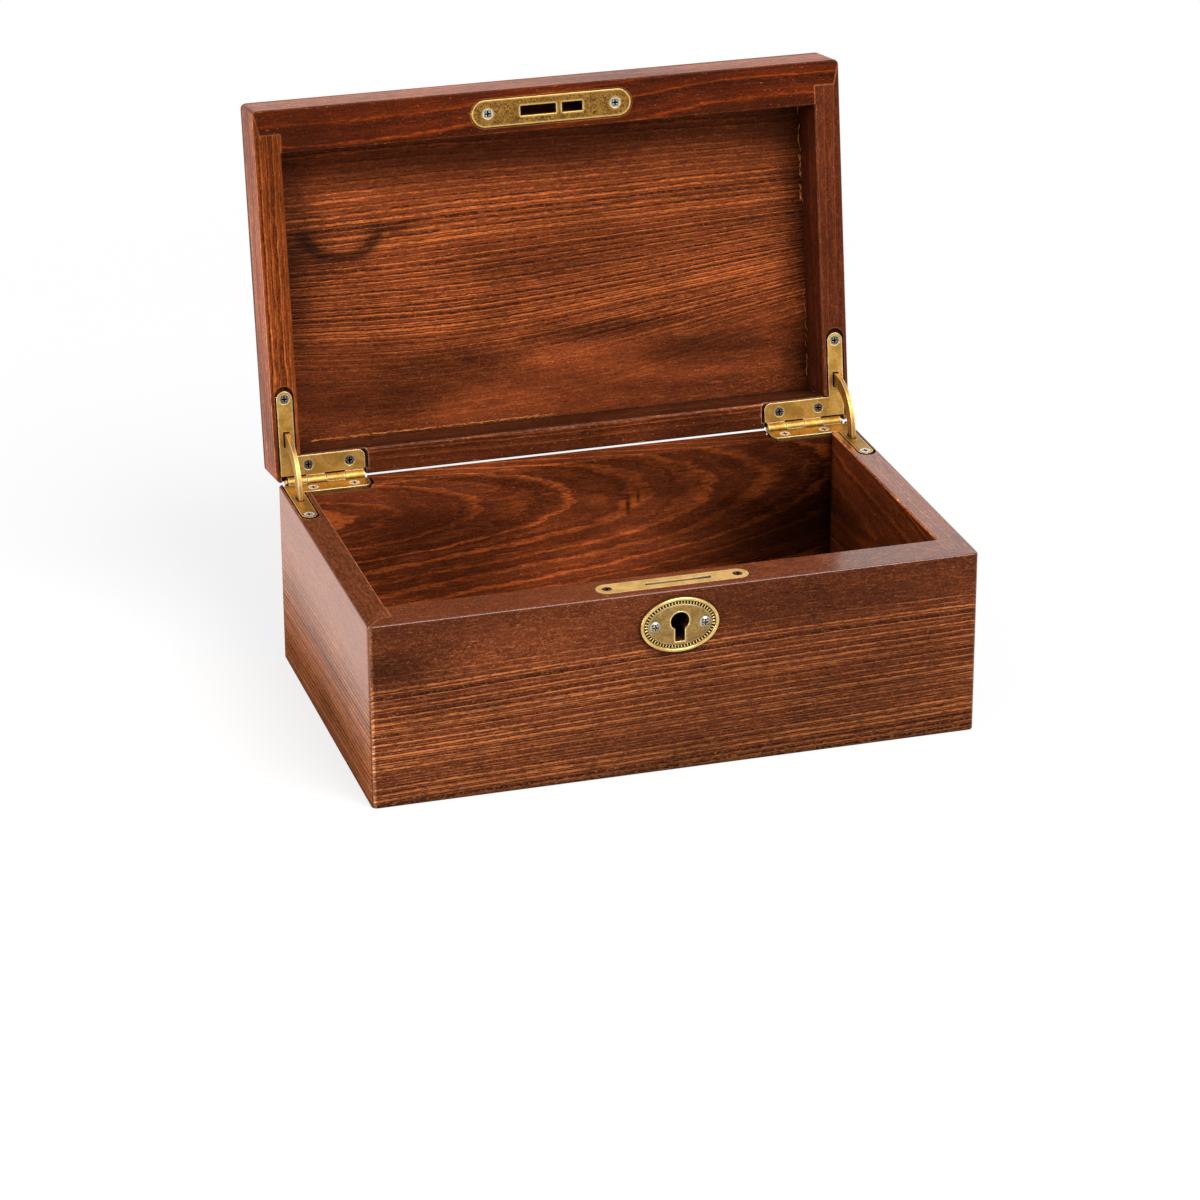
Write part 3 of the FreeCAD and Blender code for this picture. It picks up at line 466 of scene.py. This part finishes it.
lidBoards = {
    "lid_top_panel": dict(
        grain="X", across="Y", seed=6.0, pithAcross=-85.0, pithDeep=150.0,
        fan=0.0005, sweep=(0.0011, -25.0, -20.0, 46.0), pitch=1.7, warp=2.0, ripple=0.30, wiggle=0.26,
        lineFrom=0.58, lineForce=2.6, grooveForce=2.9, beading=0.18, calm=(17.0, 37.0), faintTop=(-44.0, -14.0),
        ground=(0.205, 0.0405, 0.0112), shade=(0.044, 0.0092, 0.0038), line=(0.60, 0.148, 0.034),
        patches=0.45, clouds=1.5, speckFrom=0.68, dirt=0.5, dirtReach=0.004, coat=0.6, coatSide=(0.0, 0.99, -0.14),
        # the second blot paints light along the top where the front rail shades the panel; the third and fourth paint
        # shade along the side rails
        stainAndShadingBlots=((-45.0, -42.0, 40.0, 9.0, -0.22), (-20.0, -48.0, 100.0, 9.0, 0.42), (-102.0, 0.0, 24.0, 100.0, -0.66),
               (104.0, 10.0, 20.0, 100.0, -0.56), (-72.0, -32.0, 22.0, 5.0, 0.40), (-50.0, 2.0, 54.0, 16.0, 0.26),
               (68.0, -6.0, 46.0, 22.0, -0.16), (22.0, 27.0, 46.0, 5.5, -0.56), (54.0, 39.0, 36.0, 9.0, -0.60),
               (4.0, 35.0, 26.0, 6.0, 0.50), (70.0, 49.0, 26.0, 5.0, 0.45), (-60.0, 42.0, 60.0, 16.0, -0.22),
               (99.0, 25.0, 9.0, 13.0, 0.85)),
        loop=(-77.0, -19.0, 13.5, 9.0)),
    "lid_front_rail": dict(
        grain="X", across="Y", seed=7.0, pithAcross=-40.0, pithDeep=120.0, pitch=3.0, patches=0.5, wear=0.8,
        ground=(0.105, 0.0155, 0.0026), shade=(0.026, 0.0050, 0.0018), line=(0.28, 0.042, 0.0050),
        # its outer face, which faces up on the open lid, is washed pale and blue as a painted reflection
        coat=0.14, coatSide=(0.0, 0.14, 0.99), sides=(((0.0, 0.14, 0.99), (2.7, 4.6, 9.0), 0.25),),
        stainAndShadingBlots=((70.0, -60.0, 60.0, 12.0, 0.45),)),
    "lid_back_rail": dict(
        grain="X", across="Y", seed=8.0, pithAcross=90.0, pithDeep=110.0, pitch=2.4,
        ground=(0.135, 0.028, 0.0075), shade=(0.044, 0.0082, 0.0026), line=(0.34, 0.085, 0.020),
        wear=0.9, worn=(0.66, 0.33, 0.19), coat=0.3, sides=(((0.0, 0.14, 0.99), (0.40, 0.44, 0.55), 0.45),)),
    "lid_left_rail": dict(
        grain="Y", across="X", seed=9.0, pithAcross=-140.0, pithDeep=90.0, pitch=1.8, ripple=0.9, jag=0.6, wear=0.55,
        ground=(0.260, 0.0515, 0.0110), shade=(0.066, 0.0130, 0.0034), line=(0.66, 0.172, 0.042),
        # its outer face is washed lighter as a painted sheen
        shine=0.0, coat=0.22, coatSide=(-1.0, 0.0, 0.0), sides=(((-1.0, 0.0, 0.0), (2.1, 2.6, 4.6), 0.2),)),
    "lid_right_rail": dict(
        grain="Y", across="X", seed=10.0, pithAcross=140.0, pithDeep=90.0, pitch=3.4, lineForce=0.7, wear=0.5,
        ground=(0.145, 0.031, 0.0120), shade=(0.052, 0.0105, 0.0038), line=(0.40, 0.088, 0.021), patches=0.4,
        # its inner face is washed darker as painted shade
        coat=0.4, coatSide=(1.0, 0.0, 0.0), sides=(((-1.0, 0.0, 0.0), (0.62, 0.60, 0.66), 0.45),)),
}
for node, look in caseBoards.items():
    dress(node, stainedWood(node + "_wood", **look))
for node, look in lidBoards.items():
    dress(node, stainedWood(node + "_wood", onLid=True, **look))
print("boards stained:", len(caseBoards) + len(lidBoards))


agedBrass = {
    "bright": (0.95, 0.74, 0.40), "body": (0.64, 0.37, 0.094), "dull": (0.43, 0.225, 0.042),
    "spot": (0.07, 0.036, 0.014), "spots": 0.25, "stipple": 0.0, "gloss": 0.47, "metal": 1.0, "edge": 0.0008,
    "dirt": 0.22, "dirtReach": 0.003, "softEdge": 0.0004, "seed": 0.0,
}
brassNoise = {
    "haze": dict(scale=(0.22, 0.22, 0.22), detail=3.0, rough=0.6),
    "mottle": dict(scale=(0.9, 0.9, 0.9), detail=4.0, rough=0.7),
    "specks": dict(scale=(1.9, 1.9, 1.9), shift=(4.0, 9.0, 2.0), rough=0.6),
    "scratch": dict(scale=(0.5, 6.0, 6.0), rough=0.6),
    "stipple": dict(scale=(1.7, 1.7, 1.7), shift=(1.0, 6.0, 3.0)),
}
# Where each mark sets in and is full, and how far it goes
brassCuts = {
    "haze": (0.35, 0.65), "mottle": (0.48, 0.66), "specks": (0.56, 0.66), "stipple": (0.47, 0.59),
    "rub": (0.02, 0.12), "dirt": (0.30, 0.90),
}
brassShares = {"mottle": 0.55, "rub": 0.08}
brassRough = {"mottle": 0.35, "spot": 0.3}
brassRelief = {"scratch": 0.4, "spot": -0.8}
brassBump = {"strength": 0.12, "depth": 0.0002}


def metalPoints(tree, seed=0.0):
    place = newNode(tree, "ShaderNodeTexCoord")
    return stretched(tree, place.outputs["Object"], (1 / mm, 1 / mm, 1 / mm), (11.0 * seed, 7.0 * seed, 5.0 * seed))


def brassFinish(name, **look):
    look = {**agedBrass, **look}
    material, tree, shader = bareMaterial(name)
    points = metalPoints(tree, look["seed"])
    noise = {label: cloud(tree, points, **sizes) for label, sizes in brassNoise.items()}
    haze, patina, specks, stipple = (ease(tree, noise[label], *brassCuts[label])
                                     for label in ("haze", "mottle", "specks", "stipple"))
    mottle = swing(tree, noise["mottle"])
    spot = times(tree, specks, look["spots"])
    colour = tint(tree, haze, look["dull"], look["body"])
    colour = tint(tree, times(tree, patina, brassShares["mottle"]), colour, look["dull"])
    colour = tint(tree, spot, colour, look["spot"])
    colour = tint(tree, times(tree, stipple, look["stipple"]), colour, look["spot"])
    # edges are painted bright, partly as rubbed wear and partly as painted highlight; corners get painted shade from
    # ambient occlusion
    rub = calc(tree, "MULTIPLY_ADD", mottle, brassShares["rub"], edgeShare(tree, look["edge"]))
    colour = tint(tree, ease(tree, rub, *brassCuts["rub"]), colour, look["bright"])
    dirt = ease(tree, openness(tree, look["dirtReach"]), *brassCuts["dirt"], look["dirt"], 1.0)
    feed(tree, shader.inputs["Base Color"], darkened(tree, colour, dirt))
    rough = calc(tree, "MULTIPLY_ADD", mottle, brassRough["mottle"], look["gloss"])
    feed(tree, shader.inputs["Roughness"], calc(tree, "MULTIPLY_ADD", spot, brassRough["spot"], rough))
    shader.inputs["Metallic"].default_value = look["metal"]
    relief = calc(tree, "MULTIPLY_ADD", spot, brassRelief["spot"], noise["mottle"])
    relief = calc(tree, "MULTIPLY_ADD", noise["scratch"], brassRelief["scratch"], relief)
    roughen(tree, shader, relief, **brassBump, normal=softNormal(tree, look["softEdge"]))
    return material


plainSteel = {
    "bright": (0.72, 0.69, 0.64), "body": (0.42, 0.40, 0.37), "dull": (0.16, 0.14, 0.12),
    "gloss": 0.30, "metal": 1.0, "edge": 0.0005, "dirt": 0.02, "dirtFrom": 0.62, "dirtTo": 0.96, "dirtReach": 0.003,
}
steelNoise = dict(scale=(1.1, 1.1, 1.1), detail=3.0, rough=0.6)
steelCuts = {"mottle": (0.38, 0.62), "rub": (0.02, 0.12)}
steelRough = 0.3
steelBump = {"strength": 0.1, "depth": 0.0002}


def steelFinish(name, **look):
    look = {**plainSteel, **look}
    material, tree, shader = bareMaterial(name)
    mottle = cloud(tree, metalPoints(tree), **steelNoise)
    colour = tint(tree, ease(tree, mottle, *steelCuts["mottle"]), look["dull"], look["body"])
    # edges are painted bright as a highlight, and ambient occlusion paints shade into hollows
    colour = tint(tree, ease(tree, edgeShare(tree, look["edge"]), *steelCuts["rub"]), colour, look["bright"])
    dirt = ease(tree, openness(tree, look["dirtReach"]), look["dirtFrom"], look["dirtTo"], look["dirt"], 1.0)
    feed(tree, shader.inputs["Base Color"], darkened(tree, colour, dirt))
    rough = calc(tree, "MULTIPLY_ADD", mottle, steelRough, look["gloss"] - steelRough / 2)
    feed(tree, shader.inputs["Roughness"], rough)
    shader.inputs["Metallic"].default_value = look["metal"]
    roughen(tree, shader, mottle, **steelBump)
    return material


hingeBrass = brassFinish("hinge_brass", seed=1.0)
# a duller, darker copy of the hinge brass for the leaves on the rim, painted shade against the orange that the lid
# panel reflects into them
rimBrass = brassFinish("rim_leaf_brass", seed=6.0, gloss=0.46, body=(0.53, 0.315, 0.080), dull=(0.33, 0.185, 0.038))
# a brighter copy of the plate brass for the bead, the lip and the ribs: partly rubbed brass, partly painted highlight
beadBrass = brassFinish("bead_brass", seed=7.0, gloss=0.26, spots=0.2,
                        bright=(0.95, 0.70, 0.30), body=(0.82, 0.575, 0.215), dull=(0.60, 0.38, 0.12))
# its wide bright edge is a painted highlight along the plate's rim
strikeBrass = brassFinish("strike_brass", seed=2.0, gloss=0.44, spots=0.6, stipple=0.85, edge=0.0015,
                          bright=(0.98, 0.68, 0.23), body=(0.38, 0.195, 0.040), dull=(0.26, 0.120, 0.022))
# a pale, half-metal brass: painted reflection of the bright sky the selvedge faces
selvedgeBrass = brassFinish("selvedge_brass", seed=4.0, gloss=0.62, metal=0.5, dirt=0.02,
                            body=(0.84, 0.54, 0.19), dull=(0.66, 0.40, 0.12))
plateBrass = brassFinish("plate_brass", seed=3.0, spots=0.25, stipple=0.30,
                         body=(0.44, 0.275, 0.088), dull=(0.30, 0.175, 0.055))
groovePatina = brassFinish("groove_patina", seed=5.0, gloss=0.6,
                           bright=(0.08, 0.05, 0.02), body=(0.030, 0.018, 0.008), dull=(0.015, 0.009, 0.004))
plateSteel = steelFinish("plate_screw_steel",
                         bright=(0.97, 0.94, 0.88), body=(0.27, 0.245, 0.21), dull=(0.10, 0.085, 0.07))
# a pale, half-metal steel: painted highlight standing in for white glints on the rim screws
rimSteel = steelFinish("rim_screw_steel", gloss=0.36, metal=0.4, dirtFrom=0.25,
                       bright=(0.98, 0.96, 0.92), body=(0.80, 0.78, 0.74), dull=(0.42, 0.38, 0.32))
hingeSteel = steelFinish("hinge_screw_steel", edge=0.0004,
                         bright=(0.80, 0.71, 0.56), body=(0.130, 0.098, 0.064), dull=(0.045, 0.034, 0.022))
lockSteel = steelFinish("lock_steel_finish",
                        bright=(0.3, 0.29, 0.28), body=(0.14, 0.135, 0.13), dull=(0.07, 0.065, 0.06))
for hand in ("left", "right"):
    for piece in ("hinge_lid_leaf", "hinge_pin", "hinge_stay"):
        dress(hand + "_" + piece, hingeBrass)
    dress(hand + "_hinge_case_leaf", rimBrass)
    dress(hand + "_case_leaf_screws", rimSteel)
    dress(hand + "_lid_leaf_screws", hingeSteel)
dress("strike_plate", strikeBrass)
dress("lock_selvedge", selvedgeBrass)
dress("escutcheon", plateBrass)
# the hook bolt takes the near-black groove finish: painted shade in the selvedge slit it shows through
dress("lock_hook_bolt", groovePatina)
for node in ("lock_selvedge_screws", "strike_plate_screws", "escutcheon_screws"):
    dress(node, plateSteel)
for node in ("lock_case", "lock_cap", "lock_rivets", "lock_hook_post", "lock_spring"):
    dress(node, lockSteel)
print("fittings finished")


def addPiece(name, mesh, body):
    piece = bpy.data.objects.new(name, mesh)
    bpy.context.scene.collection.objects.link(piece)
    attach(piece, body)
    return piece


def growMesh(name, sizes, layOut, material):
    # builds a node tree with one input for each size and returns what it makes as a plain mesh
    tree = bpy.data.node_groups.new(name + "Tree", "GeometryNodeTree")
    kinds = {int: "NodeSocketInt", float: "NodeSocketFloat", tuple: "NodeSocketVector"}
    marks = {}
    for label, value in sizes.items():
        socket = tree.interface.new_socket(label, in_out="INPUT", socket_type=kinds[type(value)])
        marks[label] = socket.identifier
    tree.interface.new_socket("Geometry", in_out="OUTPUT", socket_type="NodeSocketGeometry")
    given = newNode(tree, "NodeGroupInput").outputs
    plain = newNode(tree, "GeometryNodeRealizeInstances")
    feed(tree, plain.inputs[0], layOut(tree, given))
    painted = newNode(tree, "GeometryNodeSetMaterial")
    feed(tree, painted.inputs["Geometry"], plain.outputs[0])
    painted.inputs["Material"].default_value = material
    feed(tree, newNode(tree, "NodeGroupOutput").inputs[0], painted.outputs[0])
    seedling = bpy.data.objects.new(name + "Seed", bpy.data.meshes.new(name + "Seed"))
    bpy.context.scene.collection.objects.link(seedling)
    grower = seedling.modifiers.new("grow", "NODES")
    grower.node_group = tree
    for label, value in sizes.items():
        grower[marks[label]] = value
    graph = bpy.context.evaluated_depsgraph_get()
    mesh = bpy.data.meshes.new_from_object(seedling.evaluated_get(graph))
    mesh.name = name
    seedling.modifiers.remove(grower)
    bpy.data.objects.remove(seedling)
    return mesh


def scatter(tree, low, high, seed):
    node = newNode(tree, "FunctionNodeRandomValue", data_type="FLOAT_VECTOR")
    live = [socket for socket in node.inputs if socket.enabled]
    for socket, value in zip(live[:2], (low, high)):
        feed(tree, socket, value)
    feed(tree, live[-1], seed)
    return next(socket for socket in node.outputs if socket.enabled)


# Oval keyhole plate in mm. Heights are off the front board, widths are in from the plate's outline.
keyPlate = {
    "halfWidth": 14.25, "halfHeight": 10.2, "middle": 55.4, "frontFace": 68.0, "around": 120, "sharpFrom": 38.0,
    "beadWidth": 1.36, "beadTop": 1.5, "beadSteps": 10,
    "grooveFloor": 0.74, "grooveOuter": 1.42, "grooveInner": 2.62, "field": 1.0, "fieldEdge": 0.10, "fieldDrop": 0.04,
    "keyRise": 1.3, "keyRadius": 3.35, "keySteps": 30, "slotHalf": 1.75, "slotReach": 7.5,
    "lip": 0.12, "lipWidth": 0.36, "lipTop": (0.75, 0.30), "lipInner": 0.03, "lipShoulder": 0.4, "lipDrop": 0.1,
}


def keyPlateMesh():
    size, finishes = keyPlate, [plateBrass, groovePatina, beadBrass]
    field, fieldEdge, floor = size["field"], size["fieldEdge"], size["grooveFloor"]
    half = size["beadWidth"] / 2
    beadMiddle = size["beadTop"] - half
    profile = [(0.0, 0.0)]
    for i in range(size["beadSteps"] + 1):
        turn = math.pi * i / size["beadSteps"]
        profile.append((half - half * math.cos(turn), beadMiddle + half * math.sin(turn)))
    grooveInner = size["grooveInner"]
    profile += [(size["grooveOuter"], floor), (grooveInner, floor),
                (grooveInner + fieldEdge, field - size["fieldDrop"]), (grooveInner + 2 * fieldEdge, field)]
    form = bmesh.new()

    def spot(x, z, height):
        return form.verts.new((x * mm, -(size["frontFace"] + height) * mm, (size["middle"] + z) * mm))

    def ovalRing(inset, height):
        ring = []
        for i in range(size["around"]):
            turn = 2 * math.pi * i / size["around"]
            c, s = math.cos(turn), math.sin(turn)
            out = Vector((size["halfHeight"] * c, size["halfWidth"] * s)).normalized()
            ring.append(spot(size["halfWidth"] * c - inset * out.x, size["halfHeight"] * s - inset * out.y, height))
        return ring

    def keyRing(grow, height):
        radius, side, low = size["keyRadius"] + grow, size["slotHalf"] + grow, size["slotReach"] + grow
        start = -math.acos(side / radius)
        path = [(side * share, -low) for share in (-1.0, -0.5, 0.0, 0.5, 1.0)]
        for i in range(size["keySteps"] + 1):
            turn = start + (math.pi - 2 * start) * i / size["keySteps"]
            path.append((radius * math.cos(turn), radius * math.sin(turn)))
        return [spot(x, z + size["keyRise"], height) for x, z in path]

    def skin(rings, paints):
        for step, (a, b) in enumerate(zip(rings, rings[1:])):
            for i in range(len(a)):
                j = (i + 1) % len(a)
                face = form.faces.new((a[i], a[j], b[j], b[i]))
                face.material_index = finishes.index(paints.get(step, plateBrass))

    # the bead and the lip take the brighter bead brass, partly rubbed and partly painted highlight; the floor of the
    # groove is dark
    outer = [ovalRing(inset, height) for inset, height in profile]
    beadPaint = {step: beadBrass for step in range(1, size["beadSteps"] + 1)}
    grooveStep = len(profile) - 4
    skin(outer, {**beadPaint, grooveStep: groovePatina})
    lip, lipWidth = size["lip"], size["lipWidth"]
    lipTop = [keyRing(share * lipWidth, field + lip) for share in size["lipTop"]]
    inner = [keyRing(lipWidth, field), *lipTop, keyRing(size["lipInner"], field + size["lipShoulder"] * lip),
             keyRing(0.0, field - size["lipDrop"]), keyRing(0.0, 0.0)]
    skin(inner, {0: beadBrass, 1: beadBrass, 2: beadBrass})
    for oval, key in ((outer[-1], inner[0]), (outer[0], inner[-1])):
        pairs = [pair for ring in (oval, key) for pair in zip(ring, ring[1:] + ring[:1])]
        bmesh.ops.triangle_fill(form, use_beauty=True, edges=[form.edges.get(pair) for pair in pairs])
    bmesh.ops.recalc_face_normals(form, faces=form.faces)
    mesh = bpy.data.meshes.new("keyPlate")
    form.to_mesh(mesh)
    form.free()
    mesh.shade_smooth()
    mesh.set_sharp_from_angle(angle=math.radians(size["sharpFrom"]))
    for material in finishes:
        mesh.materials.append(material)
    return mesh


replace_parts(addPiece("keyPlate", keyPlateMesh(), "case"), "escutcheon")

# Short ribs that stand in the groove of the keyhole plate, in metres
plateRibs = {
    "Count": 58, "Oval Steps": 128, "Half Width": 0.01222, "Half Height": 0.00817,
    "Size": (0.00112, 0.00050, 0.00018), "Crown": 0.00010,
}
ribSteps = {"Vertices X": 3, "Vertices Y": 4, "Vertices Z": 2}


def layRibs(tree, given):
    loop = newNode(tree, "GeometryNodeCurvePrimitiveCircle")
    feed(tree, loop.inputs["Resolution"], given["Oval Steps"])
    loop.inputs["Radius"].default_value = 1.0
    shape = newNode(tree, "ShaderNodeCombineXYZ")
    for socket, value in zip(shape.inputs, (given["Half Width"], given["Half Height"], 1.0)):
        feed(tree, socket, value)
    oval = newNode(tree, "GeometryNodeTransform")
    feed(tree, oval.inputs["Geometry"], loop.outputs[0])
    feed(tree, oval.inputs["Scale"], shape.outputs[0])
    places = newNode(tree, "GeometryNodeCurveToPoints", mode="COUNT")
    feed(tree, places.inputs["Curve"], oval.outputs[0])
    feed(tree, places.inputs["Count"], given["Count"])
    outward = newNode(tree, "ShaderNodeVectorMath", operation="CROSS_PRODUCT")
    feed(tree, outward.inputs[0], places.outputs["Tangent"])
    outward.inputs[1].default_value = (0.0, 0.0, 1.0)
    turn = newNode(tree, "FunctionNodeAlignRotationToVector", axis="X", pivot_axis="Z")
    feed(tree, turn.inputs["Vector"], outward.outputs[0])
    bar = newNode(tree, "GeometryNodeMeshCube")
    feed(tree, bar.inputs["Size"], given["Size"])
    for label, value in ribSteps.items():
        bar.inputs[label].default_value = value
    # the middle of each rib is crowned
    place = newNode(tree, "GeometryNodeInputPosition")
    apart = newNode(tree, "ShaderNodeSeparateXYZ")
    feed(tree, apart.inputs[0], place.outputs[0])
    size = newNode(tree, "ShaderNodeSeparateXYZ")
    feed(tree, size.inputs[0], given["Size"])
    side = calc(tree, "DIVIDE", times(tree, apart.outputs["Y"], 2.0), size.outputs["Y"])
    rise = times(tree, calc(tree, "SUBTRACT", 1.0, times(tree, side, side)), given["Crown"])
    lift = newNode(tree, "ShaderNodeCombineXYZ")
    feed(tree, lift.inputs[2], rise)
    crowned = newNode(tree, "GeometryNodeSetPosition")
    feed(tree, crowned.inputs["Geometry"], bar.outputs["Mesh"])
    feed(tree, crowned.inputs["Offset"], lift.outputs[0])
    ribs = newNode(tree, "GeometryNodeInstanceOnPoints")
    feed(tree, ribs.inputs["Points"], places.outputs["Points"])
    feed(tree, ribs.inputs["Instance"], crowned.outputs[0])
    feed(tree, ribs.inputs["Rotation"], turn.outputs[0])
    return ribs.outputs[0]


ribMesh = growMesh("plateRibs", plateRibs, layRibs, beadBrass)
ribDepth = (keyPlate["frontFace"] + keyPlate["grooveFloor"]) * mm + plateRibs["Size"][2] / 2
ribPlace = Matrix.Translation((0.0, -ribDepth, keyPlate["middle"] * mm))
ribMesh.transform(ribPlace @ Matrix.Rotation(math.radians(90.0), 4, "X"))
addPiece("plateRibs", ribMesh, "case")

# Flakes of torn varnish along the joints between the lid's panel and rails, placed on the shut lid in mm
varnishChips = {
    "rightJoint": {"Count": 26, "Low": (99.7, -50.0, 85.9), "High": (100.4, -12.0, 86.0),
                   "Thin": (0.10, 0.90, 0.05), "Long": (0.36, 5.20, 0.12), "Seed": 4},
    "rightLowJoint": {"Count": 15, "Low": (99.9, 18.0, 85.9), "High": (100.5, 57.0, 86.0),
                      "Thin": (0.08, 1.00, 0.05), "Long": (0.24, 5.40, 0.12), "Seed": 9},
    "backJoint": {"Count": 170, "Low": (-92.0, 57.45, 85.9), "High": (0.0, 57.75, 86.0),
                  "Thin": (0.80, 0.10, 0.05), "Long": (4.60, 0.30, 0.12), "Seed": 14},
}
flakeTilt = (0.2, 0.2, 0.35)
flakeTear = 3.0


def layChips(tree, given):
    spots = newNode(tree, "GeometryNodePoints")
    feed(tree, spots.inputs["Count"], given["Count"])
    feed(tree, spots.inputs["Position"], scatter(tree, given["Low"], given["High"], given["Seed"]))
    # each flake is a torn ball, one unit across before it is scaled
    flake = newNode(tree, "GeometryNodeMeshIcoSphere")
    flake.inputs["Radius"].default_value = 0.5
    flake.inputs["Subdivisions"].default_value = 2
    place = newNode(tree, "GeometryNodeInputPosition")
    rough = newNode(tree, "ShaderNodeTexNoise")
    feed(tree, rough.inputs["Vector"], place.outputs[0])
    rough.inputs["Scale"].default_value = flakeTear
    push = newNode(tree, "ShaderNodeVectorMath", operation="SUBTRACT")
    feed(tree, push.inputs[0], rough.outputs["Color"])
    push.inputs[1].default_value = (0.5, 0.5, 0.5)
    torn = newNode(tree, "GeometryNodeSetPosition")
    feed(tree, torn.inputs["Geometry"], flake.outputs["Mesh"])
    feed(tree, torn.inputs["Offset"], push.outputs[0])
    chips = newNode(tree, "GeometryNodeInstanceOnPoints")
    feed(tree, chips.inputs["Points"], spots.outputs[0])
    feed(tree, chips.inputs["Instance"], torn.outputs[0])
    turnSeed, sizeSeed = (calc(tree, "ADD", given["Seed"], step) for step in (1, 2))
    feed(tree, chips.inputs["Rotation"], scatter(tree, tuple(-tilt for tilt in flakeTilt), flakeTilt, turnSeed))
    feed(tree, chips.inputs["Scale"], scatter(tree, given["Thin"], given["Long"], sizeSeed))
    return chips.outputs[0]


chipWood = stainedWood("chip_wood", onLid=True, grain="Y", across="X", seed=12.0,
                       ground=(0.80, 0.215, 0.050), shade=(0.48, 0.090, 0.016), line=(0.90, 0.34, 0.110),
                       worn=(0.90, 0.34, 0.110), grit=0.3, coat=0.0, dirt=0.8, patches=0.2)
toHinge = Matrix.Translation(hingeLine * mm)
openLid = toHinge @ Matrix.Rotation(-shutTurn, 4, "X") @ toHinge.inverted()
for joint, sizes in varnishChips.items():
    chipMesh = growMesh("varnishChips." + joint, sizes, layChips, chipWood)
    chipMesh.transform(openLid @ Matrix.Scale(mm, 4))
    addPiece("varnishChips." + joint, chipMesh, "lid")
print("small pieces made")


# Pale floor that fades to white past the box, in metres, and the light around it
studio = {
    "floorSize": 6.0, "floorTone": 0.26, "floorLift": 0.76, "floorRough": 0.9,
    "fadeFrom": 0.16, "fadeTo": 0.75, "skyFill": 0.40,
}
lamps = {
    "key": dict(place=(0.52, -1.25, 1.72), target=(0.0, 0.0, 0.06), power=38.0, size=1.2),
    "left": dict(place=(-1.6, -0.05, 0.34), target=(0.0, 0.0, 0.06), power=13.0, size=0.5),
}


def whiteSight(tree):
    # 1 for rays that come from the camera or from gloss and glass
    path = newNode(tree, "ShaderNodeLightPath")
    seen = calc(tree, "MAXIMUM", path.outputs["Is Camera Ray"], path.outputs["Is Glossy Ray"])
    return calc(tree, "MAXIMUM", seen, path.outputs["Is Transmission Ray"])


def makeFloor():
    mesh = bpy.data.meshes.new("floor")
    form = bmesh.new()
    bmesh.ops.create_grid(form, x_segments=2, y_segments=2, size=studio["floorSize"])
    form.to_mesh(mesh)
    form.free()
    floor = bpy.data.objects.new("floor", mesh)
    bpy.context.scene.collection.objects.link(floor)
    material, tree, shader = bareMaterial("pale_floor")
    place = newNode(tree, "ShaderNodeTexCoord")
    reach = newNode(tree, "ShaderNodeVectorMath", operation="LENGTH")
    feed(tree, reach.inputs[0], place.outputs["Object"])
    fade = ease(tree, reach.outputs["Value"], studio["fadeFrom"], studio["fadeTo"])
    near, far = (studio["floorTone"],) * 3, (0.0, 0.0, 0.0)
    feed(tree, shader.inputs["Base Color"], tint(tree, fade, near, far))
    shader.inputs["Roughness"].default_value = studio["floorRough"]
    shader.inputs["Specular IOR Level"].default_value = 0.0
    shader.inputs["Emission Color"].default_value = (1.0, 1.0, 1.0, 1.0)
    lift = calc(tree, "MULTIPLY_ADD", fade, 1.0 - studio["floorLift"], studio["floorLift"])
    feed(tree, shader.inputs["Emission Strength"], times(tree, whiteSight(tree), lift))
    mesh.materials.append(material)


def areaLamp(name, place, target, power, size):
    lamp = bpy.data.lights.new(name, "AREA")
    lamp.energy = power
    lamp.size = size
    holder = bpy.data.objects.new(name, lamp)
    holder.location = place
    holder.rotation_euler = (Vector(target) - Vector(place)).to_track_quat("-Z", "Y").to_euler()
    bpy.context.scene.collection.objects.link(holder)


def makeWorld():
    world = bpy.data.worlds.new("studio")
    world.use_nodes = True
    tree = world.node_tree
    sky = tree.nodes["Background"]
    sky.inputs["Color"].default_value = (1.0, 1.0, 1.0, 1.0)
    feed(tree, sky.inputs["Strength"], calc(tree, "MAXIMUM", whiteSight(tree), studio["skyFill"]))
    bpy.context.scene.world = world


# Viewpoint of the picture: angles in radians, distances in metres, lens and sensor in mm
viewpoint = {
    "azimuth": -0.28857, "elevation": 0.40620, "distance": 1.56296, "roll": -0.00498,
    "target": (-0.00821, 0.0, 0.03731), "lens": 130.626, "sensor": 36.0, "nearest": 0.05, "farthest": 60.0,
}


def makeCamera():
    turn, lift = viewpoint["azimuth"], viewpoint["elevation"]
    back = Vector((math.sin(turn) * math.cos(lift), -math.cos(turn) * math.cos(lift), math.sin(lift)))
    right = (-back).cross(Vector((0.0, 0.0, 1.0))).normalized()
    up = right.cross(-back).normalized()
    c, s = math.cos(viewpoint["roll"]), math.sin(viewpoint["roll"])
    right, up = c * right + s * up, c * up - s * right
    lens = bpy.data.cameras.new("camera")
    lens.lens = viewpoint["lens"]
    lens.sensor_width = viewpoint["sensor"]
    lens.clip_start, lens.clip_end = viewpoint["nearest"], viewpoint["farthest"]
    camera = bpy.data.objects.new("camera", lens)
    spot = Vector(viewpoint["target"]) + viewpoint["distance"] * back
    turned = Matrix((right, up, back)).transposed().to_4x4()
    camera.matrix_world = Matrix.Translation(spot) @ turned
    bpy.context.scene.collection.objects.link(camera)
    bpy.context.scene.camera = camera


makeFloor()
makeWorld()
for name, setting in lamps.items():
    areaLamp(name, **setting)
makeCamera()
bpy.context.scene.view_settings.view_transform = "Standard"
print("studio set")
